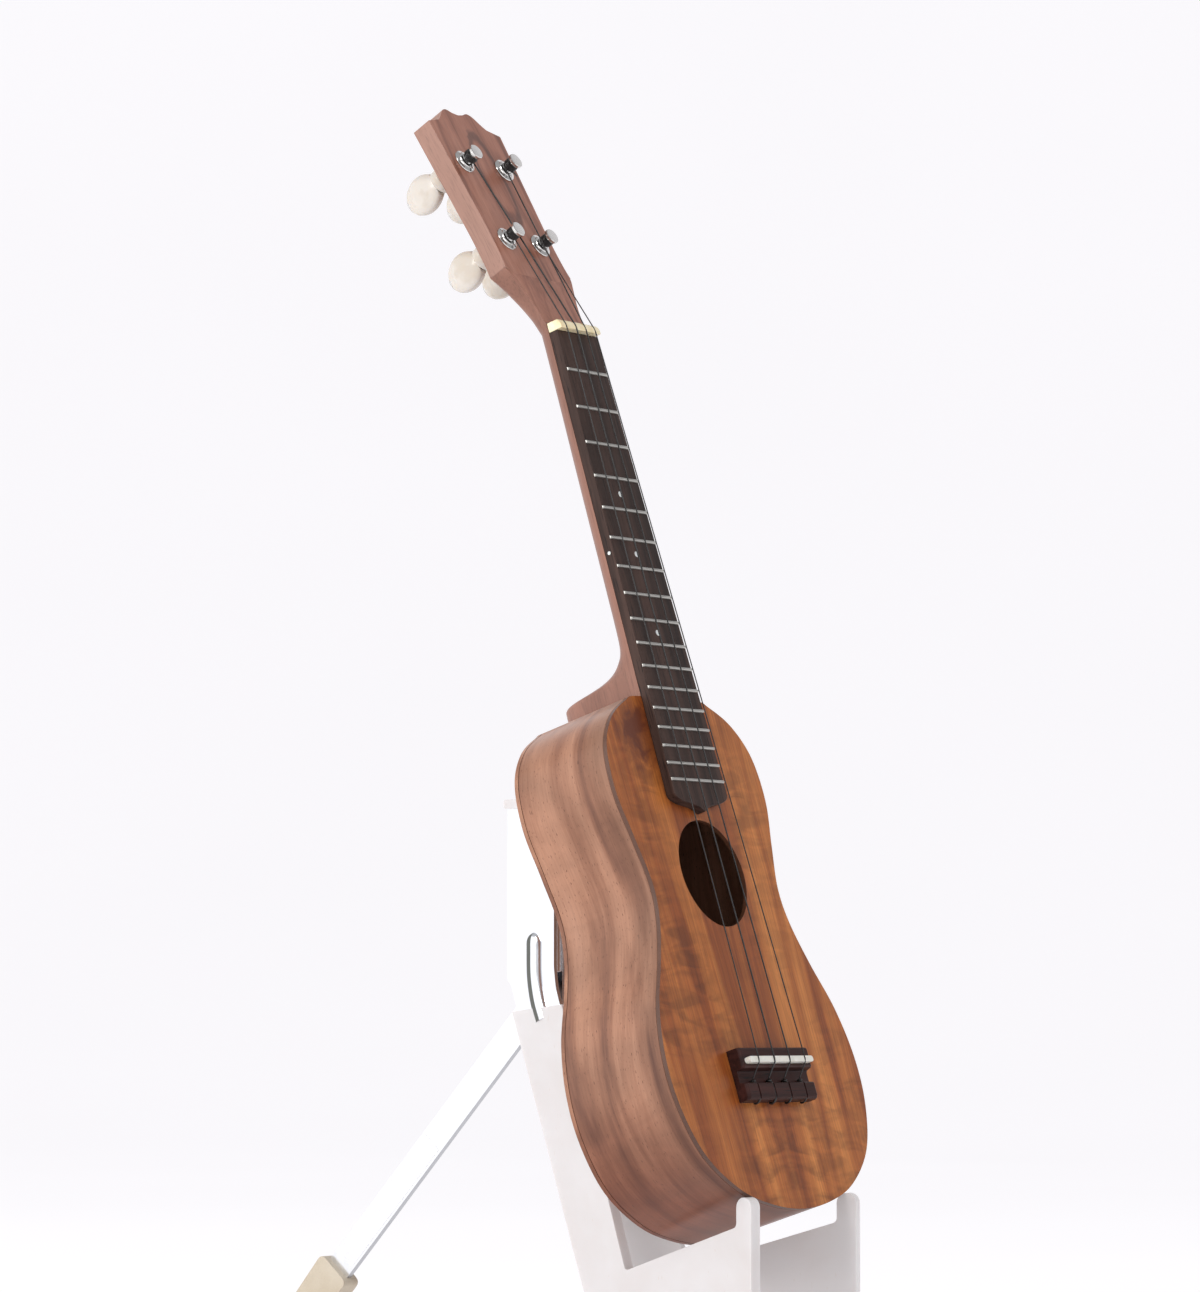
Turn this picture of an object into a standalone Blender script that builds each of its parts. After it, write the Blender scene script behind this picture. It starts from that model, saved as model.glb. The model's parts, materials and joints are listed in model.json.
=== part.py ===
"""A concert ukulele leaning on a small folding metal stand: every piece is its own solid."""

from math import atan2, cos, pi, radians, sin, sqrt, tan

import bmesh
import bpy
from mathutils import Matrix, Vector

MM = 0.001

# Fit between pieces that touch, and the play of a pin in its bore.
TOUCH_GAP = 0.3 * MM
PIN_PLAY = 0.35 * MM
LEG_PLAY = 0.4 * MM
CHAMFER = 1 * MM

# How far a cutter runs past the piece it cuts.
CUT_PAST = 5 * MM

TURNED_SEGMENTS = 24

# Instrument. Its own frame: +X across, +Y from bridge to head, +Z out of the soundboard,
# with the saddle's top line above the origin.
SCALE_LENGTH = 381 * MM
LEAN = radians(17.7)
SADDLE_HEIGHT = 140 * MM

# Half of the body's outline from the tail to the neck, as (x, y) that a smooth curve passes through.
BODY_HALF_OUTLINE = [
    (0 * MM, -74.5 * MM),
    (27 * MM, -71.3 * MM),
    (51 * MM, -63 * MM),
    (72 * MM, -46 * MM),
    (82.5 * MM, -22 * MM),
    (84 * MM, 2 * MM),
    (78 * MM, 27 * MM),
    (66 * MM, 51 * MM),
    (57.6 * MM, 72 * MM),
    (55.6 * MM, 90 * MM),
    (60.5 * MM, 112 * MM),
    (66.2 * MM, 136 * MM),
    (64 * MM, 159 * MM),
    (53 * MM, 175 * MM),
    (37 * MM, 184.5 * MM),
]
NECK_JOINT_Y = 187.5 * MM
NECK_SEAT_HALF_WIDTH = 25 * MM
OUTLINE_STEPS = 3
TAIL_DEPTH = 62 * MM
NECK_END_DEPTH = 57 * MM
SOUNDBOARD_THICKNESS = 2.2 * MM
BACK_THICKNESS = 2.2 * MM
SIDE_THICKNESS = 2.0 * MM
SOUND_HOLE_Y = 96.3 * MM
SOUND_HOLE_RADIUS = 27.5 * MM
LINING_WIDTH = 5 * MM
LINING_HEIGHT = 7 * MM
BRACE_HEIGHT = 8 * MM
BRACE_WIDTH = 6 * MM
NECK_BLOCK = (44 * MM, 22 * MM)
TAIL_BLOCK = (44 * MM, 14 * MM)
TAIL_BLOCK_SETBACK = 2.5 * MM
BRIDGE_PLATE = (70 * MM, 30 * MM, 2 * MM)
SOUNDBOARD_BRACE_Y = 141 * MM
BACK_BRACE_Y = 40 * MM

# Fretboard, frets and nut.
FRET_COUNT = 17
NUT_HALF_WIDTH = 17.3 * MM
BOARD_HALF_WIDTH_AT_LAST_FRET = 23.3 * MM
BOARD_THICKNESS = 5.2 * MM
BOARD_END_Y = 134.5 * MM
BOARD_TIP_Y = 126.5 * MM
FRET_WIDTH = 2.0 * MM
FRET_HEIGHT = 1.0 * MM
FRET_INSET = 0.4 * MM
NUT_LENGTH = 5 * MM
NUT_HEIGHT = 8.6 * MM

# Neck.
NECK_DEPTH_AT_NUT = 10 * MM
NECK_DEPTH_AT_HEEL = 11.5 * MM
HEEL_START_Y = 216 * MM
HEEL_FACE_Y = 199.3 * MM
HEEL_CAP_HALF_WIDTH = 9 * MM
HEEL_ABOVE_BACK = 5 * MM
HEEL_LIP = 4 * MM

# Headstock, in a frame tilted back from the nut.
HEAD_TILT = radians(13)
HEAD_THICKNESS = 11 * MM
HEAD_OUTLINE = [
    (18 * MM, 0 * MM),
    (20.5 * MM, 13 * MM),
    (25 * MM, 24 * MM),
    (28.5 * MM, 33.5 * MM),
    (27.4 * MM, 42 * MM),
    (27.2 * MM, 60 * MM),
    (28.8 * MM, 88 * MM),
    (31 * MM, 124 * MM),
    (20.5 * MM, 126.5 * MM),
    (17 * MM, 129.5 * MM),
    (12.5 * MM, 133.8 * MM),
    (8.6 * MM, 134.8 * MM),
    (4.6 * MM, 133.4 * MM),
]
HEAD_CROWN_DIP_Y = 132.6 * MM
LOWER_PEG = (14.6 * MM, 52 * MM)
UPPER_PEG = (17.2 * MM, 100 * MM)
POST_RADIUS = 3 * MM
POST_TOP = 9.5 * MM
POST_CAP_RADIUS = 4.3 * MM
POST_CAP_HEIGHT = 1.6 * MM
POST_CAP_CHAMFER = 0.6 * MM
POST_WAIST_RADIUS = 2.4 * MM
BUSHING_RADIUS = 6.2 * MM
BUSHING_HEIGHT = 1.6 * MM
BUSHING_LIP = 1.2 * MM
COLLAR_RADIUS = 6.5 * MM
COLLAR_LENGTH = 8 * MM
BUTTON_LENGTH = 20 * MM
BUTTON_HALF_WIDTH = 10.5 * MM
BUTTON_HALF_THICKNESS = 4.5 * MM

# Bridge and saddle.
BRIDGE_HALF_WIDTH = 31 * MM
BRIDGE_FRONT_Y = 4.8 * MM
SADDLE_BLOCK_END_Y = -5.5 * MM
TIE_BLOCK_START_Y = -12.5 * MM
BRIDGE_REAR_Y = -21 * MM
SADDLE_BLOCK_HEIGHT = 7.5 * MM
CHANNEL_HEIGHT = 3 * MM
TIE_BLOCK_HEIGHT = 6.5 * MM
TIE_BLOCK_ROUND = 1.5 * MM
SADDLE_HALF_WIDTH = 28.5 * MM
SADDLE_SETBACK = 2 * MM
SADDLE_THICKNESS = 2.6 * MM
SADDLE_TOP = 10.4 * MM
SADDLE_ROUND = 2 * MM
SADDLE_SLOT_DEPTH = 4 * MM

# Strings.
STRING_RADII = (0.32 * MM, 0.42 * MM, 0.36 * MM, 0.3 * MM)
STRING_SPACING_AT_NUT = 8.4 * MM
STRING_SPACING_AT_SADDLE = 13.8 * MM
WINDING_TURNS = 2
WINDING_HEIGHT = 3.2 * MM
WINDING_PITCH = 1.15 * MM
WINDING_POINTS = 12

# Stand, in the object's frame: -Y is the front. Heights are above the floor.
PIN_Y = 149 * MM
PIN_RADIUS = 1.5 * MM
PIN_HEAD_RADIUS = 2.9 * MM
PIN_HEAD_HEIGHT = 1.2 * MM
BARREL_RADIUS = 3.3 * MM
HINGE_BOTTOM = 181 * MM
HINGE_TOP = 261 * MM
KNUCKLE_COUNT = 6
WING_OPENING = radians(12.9)
WING_OFFSET = 6 * MM
WING_THICKNESS = 2 * MM
WING_TOP = 269 * MM
WING_REAR_Y = 146.6 * MM
WING_BEND_HEIGHT = 180 * MM
WING_UPPER_FRONT_Y = 112.5 * MM
LEG_SLOPE = 0.36
LEG_FRONT_SLOPE = 0.36
NOSE_HEIGHT = 253 * MM
NOSE_RISE = 5.2 * MM
ARM_CORNER_Y = 59.5 * MM
ARM_CORNER_HEIGHT = 38.2 * MM
ARM_RISE = 0.305
FINGER_FRONT_Y = -26.4 * MM
FINGER_WIDTH = 9.8 * MM
FINGER_TOP = 75.6 * MM
SLEEVE_WALL = 1.7 * MM
SLEEVE_TOP = 164.3 * MM
SLEEVE_TOP_SLOPE = 0.09
CAP_WALL = 1.2 * MM
CAP_SKIRT = 3.2 * MM

# Spine plate between the wings, and the rear leg that folds into its slot.
SPINE_HALF_THICKNESS = 3.2 * MM
SPINE_FRONT_Y = 121 * MM
SPINE_BOTTOM = 166 * MM
SLOT_TOP = 184 * MM
PIVOT_Y = 131 * MM
PIVOT_HEIGHT = 173 * MM
REAR_LEG_SLOPE = radians(47.6)
REAR_LEG_WIDTH = 14.5 * MM
REAR_LEG_THICKNESS = 3.6 * MM
RIVET_RADIUS = 2 * MM
RIVET_HEAD_RADIUS = 3.4 * MM
RIVET_HEAD_HEIGHT = 0.7 * MM
BOOT_LENGTH = 35 * MM
BOOT_HALF_THICKNESS = 6 * MM
BOOT_MARGIN = 3.4 * MM
BOOT_SOLE = 3 * MM
BOOT_ROUND = 2 * MM

MATERIALS = {
    "koa": ((0.50, 0.22, 0.08, 1), 0.35, 0.0),
    "mahogany": ((0.24, 0.09, 0.05, 1), 0.4, 0.0),
    "rosewood": ((0.05, 0.028, 0.022, 1), 0.45, 0.0),
    "spruce": ((0.72, 0.55, 0.34, 1), 0.6, 0.0),
    "bone": ((0.85, 0.78, 0.55, 1), 0.4, 0.0),
    "nickel": ((0.75, 0.74, 0.72, 1), 0.22, 1.0),
    "ivory_plastic": ((0.86, 0.8, 0.66, 1), 0.3, 0.0),
    "string_nylon": ((0.02, 0.02, 0.02, 1), 0.35, 0.0),
    "stand_metal": ((0.8, 0.81, 0.83, 1), 0.2, 1.0),
    "stand_rubber": ((0.85, 0.83, 0.8, 1), 0.6, 0.0),
    "boot_rubber": ((0.74, 0.68, 0.5, 1), 0.65, 0.0),
}


# Scene and mesh helpers.


def clear_scene():
    for obj in list(bpy.data.objects):
        bpy.data.objects.remove(obj, do_unlink=True)


def make_collection(name, is_cutters=False):
    collection = bpy.data.collections.new(name)
    collection.hide_render = is_cutters
    bpy.context.scene.collection.children.link(collection)
    return collection


def make_material(name):
    colour, roughness, metallic = MATERIALS[name]
    material = bpy.data.materials.new(name)
    material.use_nodes = True
    shader = material.node_tree.nodes["Principled BSDF"]
    shader.inputs["Base Color"].default_value = colour
    shader.inputs["Roughness"].default_value = roughness
    shader.inputs["Metallic"].default_value = metallic
    material.diffuse_color = colour
    return material


def make_empty(name, parent, location=(0, 0, 0), rotation=(0, 0, 0)):
    empty = bpy.data.objects.new(name, None)
    empty.empty_display_size = 0.02
    empty.parent = parent
    empty.location = location
    empty.rotation_euler = rotation
    PARTS.objects.link(empty)
    return empty


def add_object(name, mesh, parent, material, location=(0, 0, 0)):
    obj = bpy.data.objects.new(name, mesh)
    obj.parent = parent
    obj.location = location
    if material is None:
        CUTTERS.objects.link(obj)
        obj.hide_render = True
        obj.display_type = "WIRE"
    else:
        obj.data.materials.append(LOOKS[material])
        PARTS.objects.link(obj)
    return obj


def mesh_from_bmesh(name, work):
    bmesh.ops.recalc_face_normals(work, faces=work.faces)
    mesh = bpy.data.meshes.new(name)
    work.to_mesh(mesh)
    work.free()
    return mesh


def curve_mesh(name, curve):
    """The closed mesh of a filled curve, with its caps welded on."""
    guide = bpy.data.objects.new(name + "_guide", curve)
    bpy.context.scene.collection.objects.link(guide)
    graph = bpy.context.evaluated_depsgraph_get()
    mesh = bpy.data.meshes.new_from_object(guide.evaluated_get(graph))
    bpy.data.objects.remove(guide, do_unlink=True)
    bpy.data.curves.remove(curve)
    work = bmesh.new()
    work.from_mesh(mesh)
    bmesh.ops.remove_doubles(work, verts=work.verts, dist=0.00001)
    bmesh.ops.recalc_face_normals(work, faces=work.faces)
    work.to_mesh(mesh)
    work.free()
    mesh.name = name
    return mesh


def outline_mesh(name, loops, bottom, top):
    """A flat plate: closed loops of (x, y), extruded along Z from bottom to top."""
    curve = bpy.data.curves.new(name, "CURVE")
    curve.dimensions = "2D"
    curve.fill_mode = "BOTH"
    curve.extrude = (top - bottom) / 2
    for loop in loops:
        spline = curve.splines.new("POLY")
        spline.points.add(len(loop) - 1)
        for point, (x, y) in zip(spline.points, loop):
            point.co = (x, y, 0, 1)
        spline.use_cyclic_u = True
    mesh = curve_mesh(name, curve)
    mesh.transform(Matrix.Translation((0, 0, (top + bottom) / 2)))
    return mesh


def side_plate_mesh(name, loop, left, right):
    """A plate in the YZ plane: a closed loop of (y, z), extruded along X from left to right."""
    mesh = outline_mesh(name, [loop], left, right)
    mesh.transform(Matrix(((0, 0, 1, 0), (1, 0, 0, 0), (0, 1, 0, 0), (0, 0, 0, 1))))
    return mesh


def box_mesh(name, low, high):
    work = bmesh.new()
    bmesh.ops.create_cube(work, size=1)
    size = Vector(high) - Vector(low)
    bmesh.ops.scale(work, vec=size, verts=work.verts)
    bmesh.ops.translate(work, vec=(Vector(high) + Vector(low)) / 2, verts=work.verts)
    return mesh_from_bmesh(name, work)


def cylinder_mesh(name, radius, bottom, top):
    work = bmesh.new()
    bmesh.ops.create_cone(
        work,
        cap_ends=True,
        segments=TURNED_SEGMENTS,
        radius1=radius,
        radius2=radius,
        depth=top - bottom,
    )
    bmesh.ops.translate(work, vec=(0, 0, (top + bottom) / 2), verts=work.verts)
    return mesh_from_bmesh(name, work)


def add_turned(name, profile, parent, material, location=(0, 0, 0), is_ring=False):
    """A solid of revolution about Z: its profile of (radius, z), down its outer side, and a Screw."""
    mesh = bpy.data.meshes.new(name)
    edges = [(i, i + 1) for i in range(len(profile) - 1)]
    if is_ring:
        edges.append((len(profile) - 1, 0))
    mesh.from_pydata([(radius, 0, z) for radius, z in profile], edges, [])
    obj = add_object(name, mesh, parent, material, location)
    turn = obj.modifiers.new("turn", "SCREW")
    turn.steps = TURNED_SEGMENTS
    turn.render_steps = TURNED_SEGMENTS
    turn.use_merge_vertices = True
    turn.merge_threshold = 0.00005
    return obj


def loft_mesh(name, rings):
    """A closed solid through rings of points, which all have the same count."""
    work = bmesh.new()
    made = [[work.verts.new(point) for point in ring] for ring in rings]
    count = len(rings[0])
    for first, second in zip(made, made[1:]):
        for i in range(count):
            after = (i + 1) % count
            work.faces.new((first[i], first[after], second[after], second[i]))
    work.faces.new(made[0])
    work.faces.new(made[-1])
    bmesh.ops.triangulate(work, faces=work.faces)
    return mesh_from_bmesh(name, work)


def boolean(obj, cutter, operation="DIFFERENCE"):
    modifier = obj.modifiers.new(operation.lower(), "BOOLEAN")
    modifier.operation = operation
    modifier.solver = "EXACT"
    modifier.object = cutter


def smooth_loop(points, steps):
    """A closed loop that passes through the points, with steps stretches from each to the next."""
    loop = []
    count = len(points)
    for i in range(count):
        before, start, end, after = (Vector(points[(i + k) % count]) for k in (-1, 0, 1, 2))
        for step in range(steps):
            t = step / steps
            place = start * 2
            place += (end - before) * t
            place += (before * 2 - start * 5 + end * 4 - after) * t**2
            place += (start * 3 - before - end * 3 + after) * t**3
            loop.append(tuple(place / 2))
    return loop


def offset_loop(loop, distance):
    """The loop moved outwards by distance, or inwards where distance is negative."""
    count = len(loop)
    area = sum(
        loop[i][0] * loop[(i + 1) % count][1] - loop[(i + 1) % count][0] * loop[i][1]
        for i in range(count)
    )
    side = 1 if area > 0 else -1
    moved = []
    for i in range(count):
        here = Vector(loop[i])
        first = (here - Vector(loop[i - 1])).normalized()
        second = (Vector(loop[(i + 1) % count]) - here).normalized()
        normals = [Vector((d.y, -d.x)) * side for d in (first, second)]
        middle = (normals[0] + normals[1]).normalized()
        reach = distance / max(middle.dot(normals[0]), 0.5)
        moved.append(tuple(here + middle * reach))
    return moved


def mirrored_outline(half):
    """A closed loop from its right half, whose first point lies on the centre line."""
    return half + [(-x, y) for x, y in reversed(half) if x > 0]


# Places along the instrument.


def fret_y(number):
    return SCALE_LENGTH * 2 ** (-number / 12)


def board_half_width(y):
    last = fret_y(FRET_COUNT)
    growth = (BOARD_HALF_WIDTH_AT_LAST_FRET - NUT_HALF_WIDTH) / (SCALE_LENGTH - last)
    return NUT_HALF_WIDTH + (SCALE_LENGTH - y) * growth


def body_depth(y):
    tail = BODY_HALF_OUTLINE[0][1]
    share = (y - tail) / (NECK_JOINT_Y - tail)
    return TAIL_DEPTH + (NECK_END_DEPTH - TAIL_DEPTH) * share


def nose_reach():
    """How far a wing's top leans forward, so that its cap just meets the instrument's back."""
    along = (WING_TOP - SADDLE_HEIGHT) / cos(LEAN) + body_depth(NECK_JOINT_Y) * tan(LEAN)
    back_y = along * sin(LEAN) + body_depth(along) * cos(LEAN)
    return WING_UPPER_FRONT_Y - back_y - CAP_WALL - TOUCH_GAP / 2


def body_outline():
    seat = [(NECK_SEAT_HALF_WIDTH, NECK_JOINT_Y)]
    half = smooth_loop(mirrored_outline(BODY_HALF_OUTLINE + seat), OUTLINE_STEPS)
    return [(x, min(y, NECK_JOINT_Y)) for x, y in half]


def string_x(number, y):
    """Across the instrument, string 0 to 3 from the left, at a place between saddle and nut."""
    share = y / SCALE_LENGTH
    spacing = STRING_SPACING_AT_SADDLE + (STRING_SPACING_AT_NUT - STRING_SPACING_AT_SADDLE) * share
    return (number - 1.5) * spacing


# Body.


def back_follows_depth(mesh, from_z, offset):
    """Moves the points below from_z onto the sloping back, offset above it."""
    for vertex in mesh.vertices:
        if vertex.co.z < from_z:
            vertex.co.z = -body_depth(vertex.co.y) + offset


def build_soundboard():
    hole = [
        (SOUND_HOLE_RADIUS * sin(a), SOUND_HOLE_Y + SOUND_HOLE_RADIUS * cos(a))
        for a in [2 * pi * i / 36 for i in range(36)]
    ]
    mesh = outline_mesh("soundboard", [body_outline(), hole], -SOUNDBOARD_THICKNESS, 0)
    add_object("soundboard", mesh, INSTRUMENT, "koa")


def build_sides():
    outer = body_outline()
    inner = offset_loop(outer, -SIDE_THICKNESS)
    top = -SOUNDBOARD_THICKNESS - TOUCH_GAP
    mesh = outline_mesh("sides", [outer, inner], -NECK_END_DEPTH, top)
    back_follows_depth(mesh, top - BRACE_HEIGHT, BACK_THICKNESS + TOUCH_GAP)
    add_object("sides", mesh, INSTRUMENT, "koa")


def build_back():
    mesh = outline_mesh("back", [body_outline()], 0, BACK_THICKNESS)
    for vertex in mesh.vertices:
        vertex.co.z -= body_depth(vertex.co.y)
    add_object("back", mesh, INSTRUMENT, "koa")


def build_linings():
    outer = offset_loop(body_outline(), -SIDE_THICKNESS - TOUCH_GAP)
    inner = offset_loop(outer, -LINING_WIDTH)
    gap_half = NECK_BLOCK[0] / 2 + TOUCH_GAP
    top = -SOUNDBOARD_THICKNESS - TOUCH_GAP
    tail = BODY_HALF_OUTLINE[0][1]
    tail_half = TAIL_BLOCK[0] / 2 + TOUCH_GAP
    neck_room = box_mesh(
        "neck_block_room",
        (-gap_half, NECK_JOINT_Y - NECK_BLOCK[1] - LINING_WIDTH, -TAIL_DEPTH),
        (gap_half, NECK_JOINT_Y, TAIL_DEPTH),
    )
    tail_room = box_mesh(
        "tail_block_room",
        (-tail_half, tail, -TAIL_DEPTH),
        (tail_half, tail + TAIL_BLOCK[1] + LINING_WIDTH, TAIL_DEPTH),
    )
    cuts = [add_object(mesh.name, mesh, INSTRUMENT, None) for mesh in (neck_room, tail_room)]
    for side, sign in (("left", -1), ("right", 1)):
        reach = -sign * SCALE_LENGTH
        low = (min(0, reach), -SCALE_LENGTH, -TAIL_DEPTH)
        high = (max(0, reach), SCALE_LENGTH, TAIL_DEPTH)
        other_half = box_mesh(f"lining_{side}_room", low, high)
        cuts_here = cuts + [add_object(other_half.name, other_half, INSTRUMENT, None)]
        mesh = outline_mesh("lining", [outer, inner], top - LINING_HEIGHT, top)
        lining = add_object(f"lining_{side}", mesh, INSTRUMENT, "spruce")
        for cut in cuts_here:
            boolean(lining, cut)


def build_blocks():
    top = -SOUNDBOARD_THICKNESS - TOUCH_GAP
    inside = SIDE_THICKNESS + TOUCH_GAP
    half, length = NECK_BLOCK[0] / 2, NECK_BLOCK[1]
    high_y = NECK_JOINT_Y - inside
    mesh = box_mesh("neck_block", (-half, high_y - length, -1), (half, high_y, top))
    place_block("neck_block", mesh)
    half, length = TAIL_BLOCK[0] / 2, TAIL_BLOCK[1]
    low_y = BODY_HALF_OUTLINE[0][1] + inside + TAIL_BLOCK_SETBACK
    mesh = box_mesh("tail_block", (-half, low_y, -1), (half, low_y + length, top))
    place_block("tail_block", mesh)


def place_block(name, mesh):
    back_follows_depth(mesh, -BRACE_HEIGHT, BACK_THICKNESS + TOUCH_GAP)
    add_object(name, mesh, INSTRUMENT, "mahogany")


def half_width_inside(y):
    """Half the free width inside the linings, at a place along the body."""
    loop = offset_loop(body_outline(), -SIDE_THICKNESS - LINING_WIDTH - TOUCH_GAP * 3)
    widths = []
    for (x0, y0), (x1, y1) in zip(loop, loop[1:] + loop[:1]):
        if (y0 - y) * (y1 - y) <= 0 and y0 != y1:
            widths.append(abs(x0 + (x1 - x0) * (y - y0) / (y1 - y0)))
    return min(widths)


def build_braces():
    top = -SOUNDBOARD_THICKNESS - TOUCH_GAP
    half = min(half_width_inside(SOUNDBOARD_BRACE_Y + k * BRACE_WIDTH / 2) for k in (-1, 1))
    y = SOUNDBOARD_BRACE_Y
    low = (-half, y - BRACE_WIDTH / 2, top - BRACE_HEIGHT)
    mesh = box_mesh("soundboard_brace", low, (half, y + BRACE_WIDTH / 2, top))
    add_object("soundboard_brace", mesh, INSTRUMENT, "spruce")
    y = BACK_BRACE_Y
    half = min(half_width_inside(y + k * BRACE_WIDTH / 2) for k in (-1, 1))
    mesh = box_mesh("back_brace", (-half, y - BRACE_WIDTH / 2, 0), (half, y + BRACE_WIDTH / 2, BRACE_HEIGHT))
    for vertex in mesh.vertices:
        vertex.co.z += BACK_THICKNESS + TOUCH_GAP - body_depth(vertex.co.y)
    add_object("back_brace", mesh, INSTRUMENT, "spruce")
    width, length, thickness = BRIDGE_PLATE
    middle = (BRIDGE_FRONT_Y + BRIDGE_REAR_Y) / 2
    low = (-width / 2, middle - length / 2, top - thickness)
    mesh = box_mesh("bridge_plate", low, (width / 2, middle + length / 2, top))
    add_object("bridge_plate", mesh, INSTRUMENT, "spruce")


# Neck, fretboard and head.


def neck_ring(y, half_width, depth, cap_half_width, tilt=0.0):
    """Half-round section open to the top: full width at z 0, cap_half_width at its lowest."""
    ring = []
    for i in range(17):
        angle = pi * i / 16
        fall = sin(angle)
        width = cap_half_width + (half_width - cap_half_width) * sqrt(max(1 - fall**2.4, 0))
        z = -depth * fall
        x = width * (1 if angle < pi / 2 else -1)
        if i == 8:
            x = 0
        ring.append((x, y + z * tilt, z))
    return ring


def build_neck():
    end = SCALE_LENGTH + NUT_LENGTH + TOUCH_GAP
    rings = []
    body_end = NECK_JOINT_Y + TOUCH_GAP
    heel_depth = body_depth(NECK_JOINT_Y) - HEEL_ABOVE_BACK
    heel = [
        (body_end, heel_depth, 1.0),
        (HEEL_FACE_Y - HEEL_LIP, heel_depth, 1.0),
        (HEEL_FACE_Y, heel_depth * 0.93, 0.9),
        (HEEL_FACE_Y + 1 * MM, heel_depth * 0.78, 0.8),
        (HEEL_FACE_Y + 2.7 * MM, heel_depth * 0.57, 0.6),
        (HEEL_FACE_Y + 5.5 * MM, heel_depth * 0.41, 0.4),
        (HEEL_FACE_Y + 10 * MM, heel_depth * 0.3, 0.15),
    ]
    for y, depth, cap in heel:
        rings.append(neck_ring(y, board_half_width(y), depth, HEEL_CAP_HALF_WIDTH * cap))
    steps = 6
    for i in range(steps + 1):
        y = HEEL_START_Y + (SCALE_LENGTH - HEEL_START_Y) * i / steps
        depth = NECK_DEPTH_AT_HEEL + (NECK_DEPTH_AT_NUT - NECK_DEPTH_AT_HEEL) * i / steps
        rings.append(neck_ring(y, board_half_width(y), depth, 0))
    rings.append(neck_ring(end, NUT_HALF_WIDTH, NECK_DEPTH_AT_NUT, 0, tan(HEAD_TILT)))
    add_object("neck", loft_mesh("neck", rings), INSTRUMENT, "mahogany")


def build_fretboard():
    nut_half = board_half_width(SCALE_LENGTH)
    end_half = board_half_width(BOARD_END_Y)
    reach = BOARD_END_Y - BOARD_TIP_Y
    half = [
        (0, BOARD_TIP_Y),
        (end_half * 0.2, BOARD_TIP_Y + reach * 0.3),
        (end_half * 0.5, BOARD_TIP_Y + reach * 0.52),
        (end_half * 0.8, BOARD_TIP_Y + reach * 0.72),
        (end_half, BOARD_END_Y),
        (nut_half, SCALE_LENGTH - TOUCH_GAP),
    ]
    mesh = outline_mesh("fretboard", [mirrored_outline(half)], TOUCH_GAP, BOARD_THICKNESS)
    add_object("fretboard", mesh, INSTRUMENT, "rosewood")


def build_frets():
    base = BOARD_THICKNESS + TOUCH_GAP
    half = FRET_WIDTH / 2
    crown = [
        (half * cos(pi * i / 6), base + FRET_HEIGHT * sin(pi * i / 6))
        for i in range(7)
    ]
    for number in range(1, FRET_COUNT + 1):
        y = fret_y(number)
        reach = board_half_width(y) - FRET_INSET
        mesh = side_plate_mesh("fret", crown, -reach, reach)
        add_object(f"fret_{number:02d}", mesh, INSTRUMENT, "nickel", (0, y, 0))


def build_nut():
    half = NUT_HALF_WIDTH
    y = SCALE_LENGTH
    loop = [
        (y, TOUCH_GAP),
        (y + NUT_LENGTH, TOUCH_GAP),
        (y + NUT_LENGTH, NUT_HEIGHT - 2 * MM),
        (y + NUT_LENGTH * 0.6, NUT_HEIGHT - 0.4 * MM),
        (y + NUT_LENGTH * 0.25, NUT_HEIGHT),
        (y, NUT_HEIGHT - 0.2 * MM),
    ]
    add_object("nut", side_plate_mesh("nut", loop, -half, half), INSTRUMENT, "bone")


def build_headstock():
    half = HEAD_OUTLINE
    loop = [(0, HEAD_CROWN_DIP_Y)] + list(reversed(half))
    loop = loop + [(-x, y) for x, y in half]
    mesh = outline_mesh("headstock", [loop], -HEAD_THICKNESS, 0)
    head = add_object("headstock", mesh, HEAD, "mahogany")
    for name, x, y in peg_places():
        bore = cylinder_mesh(
            f"{name}_bore", POST_RADIUS + PIN_PLAY, -HEAD_THICKNESS * 2, HEAD_THICKNESS
        )
        boolean(head, add_object(f"{name}_bore", bore, HEAD, None, (x, y, 0)))


def peg_places():
    (low_x, low_y), (high_x, high_y) = LOWER_PEG, UPPER_PEG
    return [
        ("tuner_1", -low_x, low_y),
        ("tuner_2", -high_x, high_y),
        ("tuner_3", high_x, high_y),
        ("tuner_4", low_x, low_y),
    ]


def build_tuners():
    back = -HEAD_THICKNESS - TOUCH_GAP
    waist = POST_WAIST_RADIUS
    button_top = back - COLLAR_LENGTH - TOUCH_GAP
    for name, x, y in peg_places():
        axis = make_empty(f"{name}_axis", HEAD, (x, y, 0))
        profile = [
            (0, POST_TOP),
            (POST_CAP_RADIUS - POST_CAP_CHAMFER, POST_TOP),
            (POST_CAP_RADIUS, POST_TOP - POST_CAP_CHAMFER),
            (POST_CAP_RADIUS, POST_TOP - POST_CAP_HEIGHT),
            (waist, POST_TOP - POST_CAP_HEIGHT - POST_CAP_CHAMFER),
            (waist, BUSHING_HEIGHT + CHAMFER),
            (POST_RADIUS, BUSHING_HEIGHT + TOUCH_GAP),
            (POST_RADIUS, back),
            (COLLAR_RADIUS - CHAMFER, back),
            (COLLAR_RADIUS, back - CHAMFER),
            (COLLAR_RADIUS, button_top + TOUCH_GAP),
            (0, button_top + TOUCH_GAP),
        ]
        add_turned(f"{name}_post", profile, axis, "nickel")
        inner = POST_RADIUS + PIN_PLAY
        ring = [
            (inner, BUSHING_HEIGHT),
            (inner + BUSHING_LIP, BUSHING_HEIGHT),
            (BUSHING_RADIUS, BUSHING_HEIGHT / 2),
            (BUSHING_RADIUS, TOUCH_GAP),
            (inner, TOUCH_GAP),
        ]
        add_turned(f"{name}_bushing", ring, HEAD, "nickel", (x, y, 0), is_ring=True)
        add_object(f"{name}_button", button_mesh(button_top), axis, "ivory_plastic")


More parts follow.
